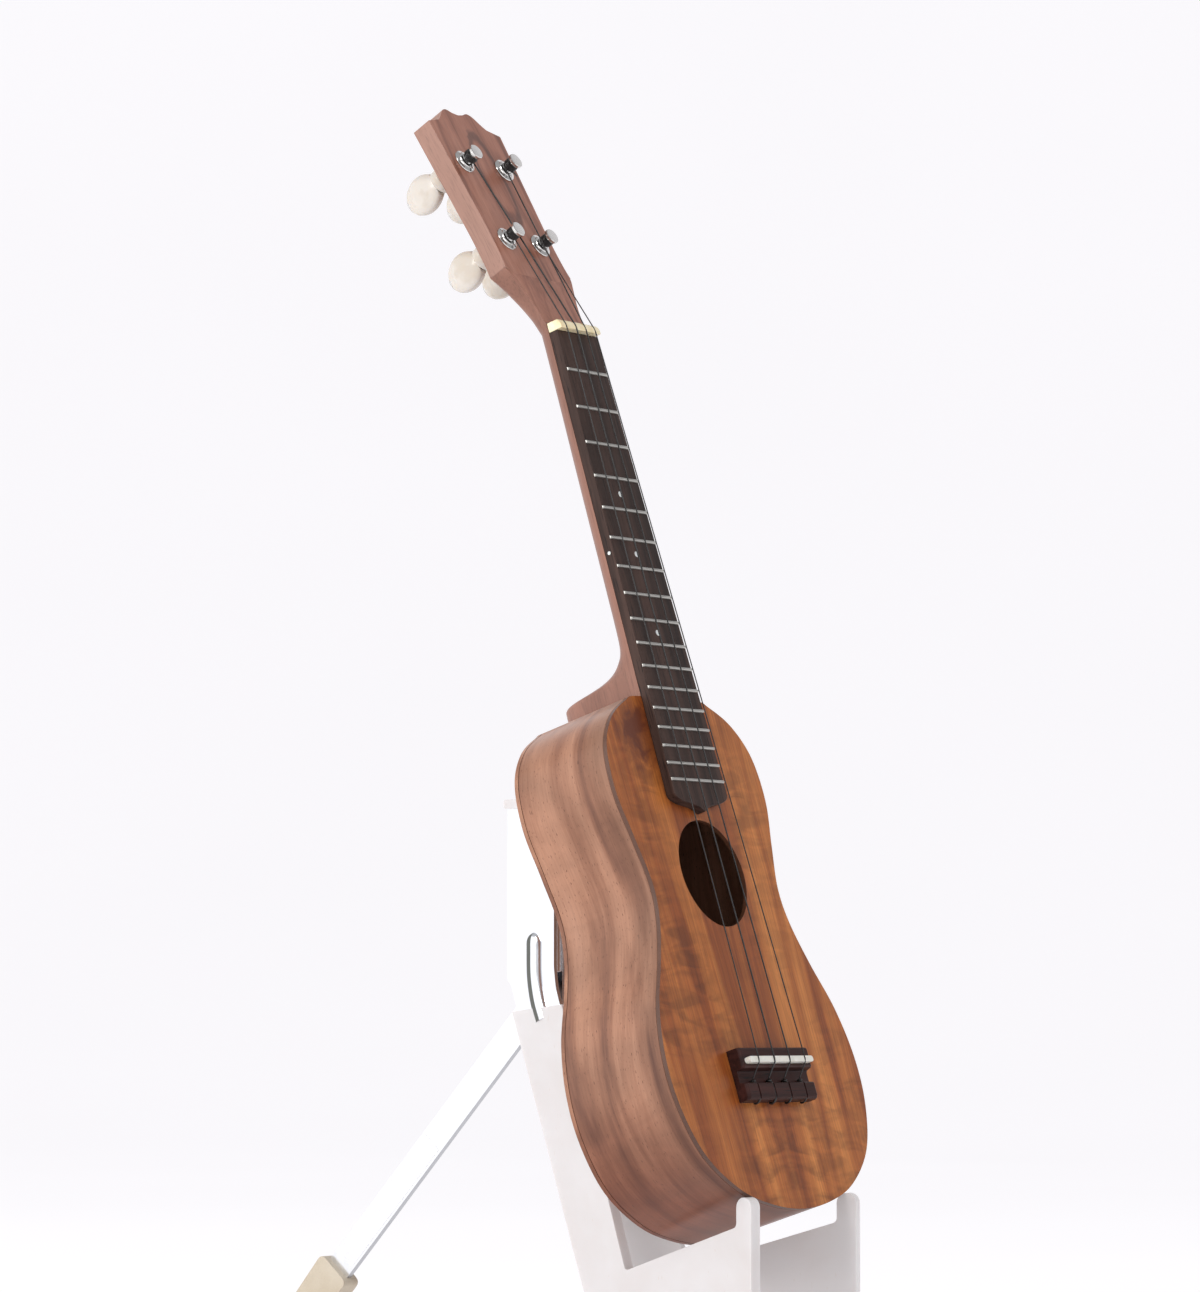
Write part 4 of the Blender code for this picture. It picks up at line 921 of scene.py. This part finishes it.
def make_saddle():
    half, radius = SADDLE_HALF_WIDTH, SADDLE_RADIUS
    loop = []
    for side in (1, -1):
        for i in range(13):
            angle = -pi / 2 + pi * i / 12
            y = side * radius * sin(angle) - SADDLE_SETBACK
            loop.append((side * (half - radius + radius * cos(angle)), y))
    bar = plate("saddle_bar", [loop], SADDLE_BOTTOM, SADDLE_TOP)
    bevel(bar, 0.9 * MM, 4, 50)
    smooth(bar)
    settle(bar, INSTRUMENT, "instrument", SADDLE_BONE, ["saddle"])


def make_bridge():
    """Saddle block, channel and tie block in one piece, with a slot in the tie block per string."""
    rings = []
    half = BRIDGE_HALF_WIDTH
    ends = [(-half, 1.0), (-half + 0.8 * MM, 0.3), (-half + 1.6 * MM, 0)]
    ends += [(-x, drop) for x, drop in reversed(ends)]
    places = {}
    for x, cut in notch_places(0, half - 1.7 * MM):
        places[x] = (cut, 0)
    for x, drop in ends:
        places[x] = (0, drop)
    for x in sorted(places):
        cut, drop = places[x]
        low = drop * 1.2
        slot = cut * 1.5
        tie = TIE_TOP / MM - low
        front = 7.5 - low
        ring = [(4.8, 0.15), (4.8, front - 0.9), (4.4, front - 0.3), (3.6, front)]
        ring += [(-4.6, front), (-5.4, front - 0.5), (-6.2, 3.4), (-7.2, 3.0)]
        ring += [(-11.6, 3.0), (-12.2, 3.3), (-12.5, tie - 0.5 - slot), (-13.1, tie - slot)]
        ring += [(-19.2, tie - slot), (-20.4, tie - 0.5 - slot)]
        ring += [(-21.0, tie - 1.6 - slot * 0.6), (-21.0, 0.15)]
        rings.append([Vector((x, y * MM, z * MM)) for y, z in ring])
    block = loft("bridge_block", rings)
    smooth(block, 28)
    settle(block, INSTRUMENT, "instrument", BRIDGE_WOOD, ["bridge"], across_grain)


# Strings and tuners.


def pegs():
    """Each tuner's name with its place in the head's frame, from its joint."""
    found = []
    for number in range(1, 5):
        place = HEAD.inverted() @ Vector(JOINTS[f"tuner_{number}_turn"]["pos_m"])
        found.append((f"tuner_{number}", place.x, place.y))
    return found


POST_WAIST = 2.4 * MM
WINDING_LOW = 2.9 * MM
WINDING_HIGH = 7.0 * MM
WINDING_STEPS = 16


def winding(number, radius):
    """The string's turns round its post, from its lowest turn up, in the head's frame."""
    x, y = pegs()[number][1:]
    side = 1 if x < 0 else -1
    pitch = radius * 2.04
    turns = int((WINDING_HIGH - WINDING_LOW) / pitch)
    points = []
    top = WINDING_LOW + turns * pitch
    for layer, start, step in ((0, WINDING_LOW, pitch), (1, top, -pitch)):
        around = POST_WAIST + radius + layer * radius * 1.7
        used = turns if layer == 0 else turns * 0.75
        for i in range(int(used * WINDING_STEPS) + 1):
            turn = i / WINDING_STEPS + layer * turns
            angle = 2 * pi * turn
            rise = start + step * i / WINDING_STEPS
            points.append(Vector((x + side * around * cos(angle), y + around * sin(angle), rise)))
    out = points[-1] - Vector((x, y, points[-1].z))
    points.append(points[-1] + out * 0.5 + Vector((0, 0, 0.9 * MM)))
    points.append(points[-1] + out * 0.6 + Vector((0, 0, 0.5 * MM)))
    return points


def make_strings():
    to_head = INSTRUMENT.inverted() @ HEAD
    for number, radius in enumerate(STRING_RADII):
        x_end = string_x(number, 0)
        x_nut = string_x(number, SCALE_LENGTH)
        over_tie = TIE_TOP - 1.5 * MM + radius
        route = [
            Vector(point)
            for point in (
                (x_end, TIE_START_Y + 1.2 * MM, 3.6 * MM),
                (x_end, TIE_START_Y + 2.2 * MM, 4.4 * MM),
                (x_end, -6.2 * MM, 7.9 * MM),
                (x_end, -3.6 * MM, SADDLE_TOP - 0.4 * MM + radius),
                (x_end, -2 * MM, SADDLE_TOP + radius * 0.8),
                (string_x(number, 0.002), 2 * MM, SADDLE_TOP + radius * 0.7),
                (x_nut, SCALE_LENGTH + 0.6 * MM, NUT_HEIGHT - 0.6 * MM + radius),
                (x_nut, SCALE_LENGTH + 3 * MM, NUT_HEIGHT - 1.0 * MM + radius),
            )
        ]
        turns = [to_head @ point for point in winding(number, radius)]
        string = tube(f"string_line_{number + 1}", route + turns, radius, 3)
        smooth(string, 60)
        settle(string, INSTRUMENT, "instrument", STRING, [f"string_{number + 1}"])
        high = over_tie / MM
        tie_route = [(-0.2, -11.8, 3.7), (0, -12.2, high - 0.4), (0.2, -13.2, high + 0.1)]
        tie_route += [(0.3, -19.4, high + 0.1), (0.3, -21.4, high - 1.0)]
        tie_route += [(0.3, -22.1, 2.6), (0.3, -21.6, 1.2)]
        route = [Vector((x_end, 0, 0)) + Vector(point) * MM for point in tie_route]
        tie = tube(f"string_tie_{number + 1}", smooth_points(route, 5), radius * 1.5, 3)
        smooth(tie, 60)
        settle(tie, INSTRUMENT, "instrument", STRING)
        knot_points = []
        for i in range(15):
            angle = 2 * pi * i / 12
            across = x_end + 0.9 * MM * cos(angle)
            rise = 4.3 * MM + 0.9 * MM * sin(angle)
            knot_points.append(Vector((across, -11.3 * MM + 0.25 * MM * sin(angle * 2), rise)))
        knot = tube(f"string_knot_{number + 1}", knot_points, radius * 1.5, 3)
        smooth(knot, 60)
        settle(knot, INSTRUMENT, "instrument", STRING)


FLANGE = [(3.3, 0.05), (6.4, 0.05), (6.6, 0.4), (6.4, 0.8), (5.4, 1.1), (4.8, 1.5)]
FLANGE += [(4.6, 2.0), (4.0, 2.2), (3.3, 2.2), (3.3, 0.05)]
POST = [(0, -19.0), (3.4, -19.0), (3.4, -11.4), (3.0, -11.2), (3.0, 2.3), (2.7, 2.6)]
POST += [(2.4, 3.0), (2.4, 7.0), (3.3, 7.5), (4.0, 7.7), (4.2, 8.0), (4.2, 9.1)]
POST += [(3.9, 9.45), (0, 9.5)]
COLLAR = [(0, -19.3), (5.0, -19.3), (6.3, -18.2), (6.5, -16.5), (6.2, -14.6)]
COLLAR += [(5.6, -14.0), (5.6, -12.0), (5.2, -11.4), (0, -11.4)]
BUTTON_SCREW = [(0, -39.9), (1.0, -39.9), (1.9, -39.6), (2.2, -39.1), (2.2, -38.0), (0, -38.0)]


def make_tuners():
    for name, x, y in pegs():
        place = HEAD @ Matrix.Translation((x, y, 0))
        flange = smooth(turned(f"{name}_flange", FLANGE, 48), 30)
        settle(flange, place, "instrument", NICKEL, [f"{name}_bushing"])
        post = smooth(turned(f"{name}_shaft", POST, 40), 30)
        settle(post, place, name, NICKEL)
        collar = smooth(turned(f"{name}_collar", COLLAR, 48), 35)
        settle(collar, place, name, BUTTON, [f"{name}_post"])
        make_button(name, place)


def make_button(name, place):
    """A rounded oval grip with its flat faces to either side, and a screw in its end."""
    rings = []
    top, length = -19.5, 20.0
    count = 28
    for i in range(count + 1):
        share = i / count
        wide = 10.4 * sin(pi * (0.13 + 0.80 * share)) ** 0.55
        thick = 4.3 * (0.62 + 0.38 * sin(pi * min(share * 1.1 + 0.15, 1)) ** 0.5)
        if share > 0.85:
            thick *= 1 - 0.5 * ((share - 0.85) / 0.15) ** 2
            wide *= 1 - 0.25 * ((share - 0.85) / 0.15) ** 2
        ring = []
        for k in range(40):
            angle = 2 * pi * k / 40
            c, s_ = cos(angle), sin(angle)
            flat = abs(c) ** 0.72 * (1 if c > 0 else -1)
            ring.append(Vector((thick * flat * MM, wide * s_ * MM, (top - length * share) * MM)))
        rings.append(ring)
    grip = loft(f"{name}_grip", rings)
    smooth(grip, 60)
    shift = Vector((sum(ord(c) for c in name) * 0.013, 0, 0))
    replaced = [f"{name}_button"]
    settle(grip, place, name, BUTTON, replaced, lambda p: Vector(p) + shift)
    screw = smooth(turned(f"{name}_screw", BUTTON_SCREW, 24), 35)
    settle(screw, place, name, NICKEL)


# Stand. A wing's frame has its origin on the hinge pin and its plate along -Y; heights are
# above the floor, and y below is counted from the saddle, as the wing stands opened.

PIN = Vector((*JOINTS["wing_left_fold"]["pos_m"][:2], 0))
PIVOT = Vector(JOINTS["rear_leg_fold"]["pos_m"])
PIN_Y = 149
WING_OPENING = radians(12.9)
WING_OFFSET = 6
WING_HALF = 1
WING_TOP = 269
WING_REAR_Y = 146.6
BEND_HEIGHT = 180
LEG_SLOPE = 0.36
SLEEVE_TOP = 164.3
SLEEVE_HALF = 3
INSET = 2
FINGER_FRONT_Y = -26.4
FINGER_HALF = 4.9
FINGER_TOP = 75.6
ARM_CORNER = (59.5, 38.2)
ARM_RISE = 0.305
NOSE = (112.5, 103, 243.5, 258.2)
KNUCKLES = 6
HINGE_SPAN = (181, 261)
BARREL_RADIUS = 3.3
REAR_LEG_SLOPE = radians(47.6)
REAR_LEG_HALF_WIDTH = 7.25
REAR_LEG_HALF_THICKNESS = 1.8
BOOT_LENGTH = 35
BOOT_HALF = (6, 10.65)
BOOT_SOLE = 3
BOOT_TAPER = 3.6
RIB_BENDS = [(-22.6, 203.5), (-22.7, 196), (-23, 182), (-25.4, 170), (-29.4, 160)]
RIB_HALF_WIDTH = 4.8
RIB_RISE = 2.6
SPINE_BACK = 143.7
SPINE_FRONT = 121
LABEL_LENGTH = 81
LABEL_TO_BOOT = 7


def side_plate(name, loop, left, right):
    """A plate in the YZ plane: a closed loop of (y, z) in mm, extruded from x left to right."""
    piece = plate(name, [[Vector(p) * MM for p in loop]], left * MM, right * MM)
    piece.data.transform(Matrix(((0, 0, 1, 0), (1, 0, 0, 0), (0, 1, 0, 0), (0, 0, 0, 1))))
    return piece


def rounded(loop, radius, steps=4):
    """The closed loop with each of its corners replaced by a curve."""
    made = []
    for i, corner in enumerate(loop):
        corner = Vector(corner)
        before = Vector(loop[i - 1]) - corner
        after = Vector(loop[(i + 1) % len(loop)]) - corner
        reach = min(radius, before.length * 0.45, after.length * 0.45)
        start = corner + before.normalized() * reach
        end = corner + after.normalized() * reach
        for k in range(steps + 1):
            t = k / steps
            made.append(start * (1 - t) ** 2 + corner * (2 * t * (1 - t)) + end * t**2)
    return made


def leg_rear(z):
    return WING_REAR_Y - (BEND_HEIGHT - z) * LEG_SLOPE


def leg_front(z):
    return ARM_CORNER[0] + (z - ARM_CORNER[1]) * LEG_SLOPE


def sleeve_loop():
    """The rubber's outline as (y, z), from its rear foot round the finger to its upper edge."""
    tip = [
        (
            FINGER_FRONT_Y + FINGER_HALF - FINGER_HALF * cos(pi * i / 12),
            FINGER_TOP - FINGER_HALF + FINGER_HALF * sin(pi * i / 12),
        )
        for i in range(13)
    ]
    back = FINGER_FRONT_Y + 2 * FINGER_HALF
    arm = ARM_CORNER[1] + (ARM_CORNER[0] - back) * ARM_RISE
    loop = rounded([(leg_rear(0), 0), (FINGER_FRONT_Y, 0), (FINGER_FRONT_Y, 30)], 3)[:10]
    loop += tip
    notch = [(back, FINGER_TOP - FINGER_HALF), (back, arm), ARM_CORNER, (90, 122.9)]
    loop += rounded(notch, 2.2)[5:15]
    loop += [(leg_front(SLEEVE_TOP), SLEEVE_TOP + 3.4), (leg_rear(SLEEVE_TOP), SLEEVE_TOP)]
    return loop


def along_wing(loop):
    return [((y - PIN_Y) / cos(WING_OPENING), z) for y, z in loop]


def wing_loop():
    front, nose, low, high = NOSE
    hidden = 120
    loop = [(leg_rear(hidden) - INSET, hidden), (leg_front(hidden) + INSET, hidden)]
    loop += [(leg_front(176) + INSET, 176), (front, 186), (front, low), (nose, high)]
    loop += [(nose, WING_TOP), (WING_REAR_Y, WING_TOP), (WING_REAR_Y, BEND_HEIGHT)]
    loop += [(leg_rear(178) - INSET, 178)]
    return rounded(loop, 2)


def knuckle_span(index):
    length = (HINGE_SPAN[1] - HINGE_SPAN[0]) / KNUCKLES
    bottom = HINGE_SPAN[0] + length * index
    return bottom + 0.2, bottom + length - 0.2


def make_barrel(name, index, frame_place, body, nodes=()):
    bottom, top = knuckle_span(index)
    out, inn = BARREL_RADIUS, 1.9
    profile = [(inn, bottom), (out - 0.3, bottom), (out, bottom + 0.3), (out, top - 0.3)]
    profile += [(out - 0.3, top), (inn, top), (inn, bottom)]
    barrel = turned(name, profile, 40)
    smooth(barrel, 30)
    settle(barrel, frame_place, body, STAND_METAL, nodes)


def make_wing(side, sign, knuckles):
    body = f"wing_{side}"
    place = Matrix.Translation(PIN) @ Matrix.Rotation(sign * WING_OPENING, 4, "Z")
    middle = sign * WING_OFFSET
    sheet = along_wing(wing_loop())
    metal = side_plate(f"{body}_plate", sheet, middle - WING_HALF, middle + WING_HALF)
    bevel(metal, 0.35 * MM, 2)
    smooth(metal)
    settle(metal, place, body, STAND_METAL, [body])
    for index in knuckles:
        make_barrel(f"{body}_barrel_{index}", index, place, body)
        bottom, top = knuckle_span(index)
        low, high = sorted((0, middle))
        strip = [(-BARREL_RADIUS, bottom), (-1.3, bottom), (-1.3, top), (-BARREL_RADIUS, top)]
        link = side_plate(f"{body}_link_{index}", strip, low, high)
        bevel(link, 0.3 * MM, 2)
        smooth(link)
        settle(link, place, body, STAND_METAL)
    make_rib(body, sign, place)
    dip = along_wing(sleeve_loop())
    sleeve = side_plate(f"sleeve_{side}_dip", dip, middle - SLEEVE_HALF, middle + SLEEVE_HALF)
    bevel(sleeve, 2.1 * MM, 5, 25)
    smooth(sleeve, 60)
    settle(sleeve, place, body, SLEEVE, [f"sleeve_{side}"])
    front, rear, low, top = NOSE[1] - 1.5, WING_REAR_Y + 1.5, WING_TOP - 3.2, WING_TOP + 1.5
    loop = along_wing(rounded([(front, low), (front, top), (rear, top), (rear, low)], 1.6))
    cap = side_plate(f"cap_{side}_soft", loop, middle - 2.4, middle + 2.4)
    bevel(cap, 1.1 * MM, 4, 25)
    smooth(cap, 60)
    settle(cap, place, body, SLEEVE, [f"cap_{side}"])


def make_rib(body, sign, place):
    """The groove pressed into the plate's outer face, a round-ended ridge that bends forward, with
    painted shade on one flank.
    """
    spine = smooth_points(RIB_BENDS, 6)
    rings = []
    outside = sign * (WING_OFFSET + WING_HALF - 0.1)
    for i, point in enumerate(spine):
        ahead = spine[min(i + 1, len(spine) - 1)] - spine[max(i - 1, 0)]
        across = Vector((ahead.y, -ahead.x)).normalized()
        end = min(1, sqrt(max(0.02, 1 - (1 - min(1, i / 5)) ** 2)))
        ring = []
        for k in range(17):
            angle = pi * k / 16
            flat = point + across * (cos(angle) * RIB_HALF_WIDTH * end)
            out = outside + sign * RIB_RISE * end * sin(angle) ** 0.8
            ring.append(Vector((out, flat.x, flat.y)) * MM)
        rings.append(ring)
    rib = loft(f"{body}_rib", rings)
    # Painted shade: the faces along one flank of the ridge get the dark metal, standing in for the
    # shade that flank reflects.
    for face in rib.data.polygons:
        face.material_index = 1 if 8 <= face.index % 17 < 16 else 0
    smooth(rib, 50)
    settle(rib, place, body, [STAND_METAL, STAND_SHADE])


def make_spine():
    back, front = SPINE_BACK, SPINE_FRONT
    loop = rounded([(front, 166), (back, 166), (back, HINGE_SPAN[1]), (front, HINGE_SPAN[1])], 1.2)
    place = Matrix.Translation((0, PIN.y - PIN_Y * MM, 0))
    for side, sign in (("left", -1), ("right", 1)):
        low, high = sorted((sign * 2.2, sign * 3.2))
        wall = side_plate(f"spine_wall_{side}", loop, low, high)
        bevel(wall, 0.3 * MM, 2)
        smooth(wall)
        nodes = ["spine_plate"] if side == "left" else []
        settle(wall, place, "stand_spine", STAND_METAL, nodes)
    top = HINGE_SPAN[1]
    upper = rounded([(front, 184), (back, 184), (back, top), (front, top)], 0.6)
    core = side_plate("spine_core", upper, -2.2, 2.2)
    settle(core, place, "stand_spine", STAND_METAL)
    for index in (0, KNUCKLES - 1):
        make_barrel(f"spine_barrel_{index}", index, Matrix.Translation(PIN), "stand_spine")
        bottom, top = knuckle_span(index)
        strip = [(back - 0.5, bottom), (PIN_Y - 2.6, bottom), (PIN_Y - 2.6, top), (back - 0.5, top)]
        link = side_plate(f"spine_link_{index}", strip, -1.6, 1.6)
        settle(link, place, "stand_spine", STAND_METAL)
    low, high = HINGE_SPAN
    rim = [(0, 1.5), (2.2, 1.5), (2.9, 1.1), (2.9, 0.4), (1.5, 0.4)]
    profile = [(r, low - past) for r, past in rim] + [(r, high + past) for r, past in reversed(rim)]
    pin = turned("hinge_pin_turned", profile, 32)
    smooth(pin, 30)
    settle(pin, Matrix.Translation(PIN), "stand_spine", STAND_METAL, ["hinge_pin"])
    profile = [(0, -4.2), (1.6, -4.1), (2.6, -3.9), (3.3, -3.5), (2, -3.4), (2, 3.4), (3.3, 3.5)]
    profile += [(2.6, 3.9), (1.6, 4.1), (0, 4.2)]
    rivet = turned("leg_rivet_domed", profile, 32)
    smooth(rivet, 50)
    turn = Matrix.Translation(PIVOT) @ Matrix.Rotation(pi / 2, 4, "Y")
    settle(rivet, turn, "stand_spine", STAND_METAL, ["leg_rivet"])


def make_rear_leg():
    """The flat bar from its pivot straight back, its plain label, and the boot on its end."""
    half, width = REAR_LEG_HALF_THICKNESS, REAR_LEG_HALF_WIDTH
    length = (PIVOT.z / MM - BOOT_SOLE - width * cos(REAR_LEG_SLOPE)) / sin(REAR_LEG_SLOPE)
    place = Matrix.Translation(PIVOT) @ Matrix.Rotation(-REAR_LEG_SLOPE, 4, "X")
    loop = [(length, -width), (length, width)]
    turns = [pi / 2 + pi * i / 24 for i in range(25)]
    loop += [(width * cos(turn), width * sin(turn)) for turn in turns]
    bar = side_plate("rear_leg_bar", loop, -half, half)
    # Painted shade: the bar's narrow edges and rounded end get the darker metal, standing in for
    # the shade they reflect.
    for face in bar.data.polygons:
        face.material_index = 0 if abs(face.normal.x) > 0.9 else 1
    bevel(bar, 0.3 * MM, 2)
    smooth(bar)
    settle(bar, place, "rear_leg", [STAND_METAL, STAND_EDGE_SHADE], ["rear_leg"])
    start = length - BOOT_LENGTH
    near = start - LABEL_TO_BOOT
    far = near - LABEL_LENGTH
    paper = rounded([(far, -5.9), (near, -5.9), (near, 6.2), (far, 6.2)], 0.5)
    label = side_plate("rear_leg_label", paper, -half - 0.12, -half)
    settle(label, place, "rear_leg", LABEL)
    wide, tall = BOOT_HALF
    end = length + BOOT_LENGTH
    corners = [(start, -tall), (end, -tall), (end, tall - BOOT_TAPER), (start, tall)]
    loop = rounded(corners, 3.5)
    boot = side_plate("rear_boot_moulded", loop, -wide, wide)
    boot.data.transform(place)
    work = bmesh.new()
    work.from_mesh(boot.data)
    everything = work.verts[:] + work.edges[:] + work.faces[:]
    floor_cut = bmesh.ops.bisect_plane(
        work, geom=everything, plane_co=(0, 0, 0.00005), plane_no=(0, 0, -1), clear_outer=True
    )
    rim = [e for e in floor_cut["geom_cut"] if isinstance(e, bmesh.types.BMEdge)]
    bmesh.ops.contextual_create(work, geom=rim)
    bmesh.ops.recalc_face_normals(work, faces=work.faces)
    work.to_mesh(boot.data)
    work.free()
    bevel(boot, 2.4 * MM, 5, 35)
    smooth(boot, 60)
    settle(boot, Matrix.Identity(4), "rear_leg", BOOT, ["rear_boot"])


# Studio.

CAMERA_LENS = 160.8
CAMERA_FROM_SADDLE = Vector((-2.1929, -1.4223, 0.0150))
CAMERA_FORWARD = Vector((0.820, 0.568, 0.0715))
SWEEP_STEPS = 16


def make_stage():
    """A floor that curves up into a backdrop behind the piece."""
    work = bmesh.new()
    half, depth, height, radius = 9.0, 7.0, 8.0, 3.0
    profile = [(-half, 0), (depth - radius, 0)]
    for i in range(1, SWEEP_STEPS + 1):
        angle = pi / 2 * i / SWEEP_STEPS
        profile.append((depth - radius + radius * sin(angle), radius - radius * cos(angle)))
    profile.append((depth, height))
    turn = Matrix.Rotation(radians(-55), 4, "Z")
    rows = [[work.verts.new(turn @ Vector((x, y, z))) for y, z in profile] for x in (-half, half)]
    for i in range(len(profile) - 1):
        work.faces.new((rows[0][i], rows[1][i], rows[1][i + 1], rows[0][i + 1]))
    floor = new_object("studio_sweep", work)
    floor.data.shade_smooth()
    s = Shader("studio_pale", (0.35, 0.35, 0.35), 0.9)
    s.set("Emission Color", (0.79, 0.775, 0.80, 1))
    s.set("Emission Strength", 0.92)
    s.set("Specular IOR Level", 0.0)
    tint = s.noise(s.place(), 0.8, 2)
    s.colour(s.ramp(tint, (0.3, (0.34, 0.34, 0.34)), (0.7, (0.36, 0.36, 0.36))))
    floor.data.materials.append(s.material)


def area_light(name, place, aim, size, power, colour=(1, 1, 1)):
    light = bpy.data.lights.new(name, "AREA")
    light.shape = "RECTANGLE"
    light.size, light.size_y = size
    light.energy = power
    light.color = colour
    obj = bpy.data.objects.new(name, light)
    obj.location = place
    obj.rotation_euler = (Vector(aim) - Vector(place)).to_track_quat("-Z", "Y").to_euler()
    bpy.context.scene.collection.objects.link(obj)


def make_lights():
    world = bpy.data.worlds.new("studio")
    world.use_nodes = True
    world.node_tree.nodes["Background"].inputs["Color"].default_value = (0.97, 0.97, 1.0, 1)
    world.node_tree.nodes["Background"].inputs["Strength"].default_value = 0.45
    bpy.context.scene.world = world
    aim = (0, 0, 0.3)
    area_light("key", (-3.0, 0.5, 2.0), aim, (1.8, 1.8), 66, (1.0, 0.99, 0.98))
    area_light("side_card", (-2.1, 2.3, 0.9), aim, (5.0, 3.0), 34)
    area_light("front", (-0.6, -3.0, 2.4), aim, (1.6, 1.6), 30)


def make_camera():
    """The photograph's view: from the left, at about the bridge's height, looking a little up."""
    camera = bpy.data.cameras.new("camera")
    camera.sensor_fit = "HORIZONTAL"
    camera.sensor_width = 36
    camera.lens = CAMERA_LENS
    camera.clip_end = 50
    obj = bpy.data.objects.new("camera", camera)
    bpy.context.scene.collection.objects.link(obj)
    saddle = INSTRUMENT.translation
    obj.location = saddle + CAMERA_FROM_SADDLE
    obj.rotation_euler = CAMERA_FORWARD.to_track_quat("-Z", "Y").to_euler()
    bpy.context.scene.camera = obj


make_camera()
make_soundboard()
make_sides()
make_back()
make_neck()
make_headstock()
make_fretboard()
make_frets()
make_dots()
make_nut()
make_saddle()
make_bridge()
make_strings()
make_tuners()
carry_over(["neck_block", "tail_block"], INSIDE_WOOD)
BRACING = ["soundboard_brace", "back_brace", "bridge_plate", "lining_left", "lining_right"]
carry_over(BRACING, SPRUCE)
make_wing("left", -1, (1, 3))
make_wing("right", 1, (2, 4))
make_spine()
make_rear_leg()
make_stage()
make_lights()
bpy.context.scene.view_settings.view_transform = "Standard"
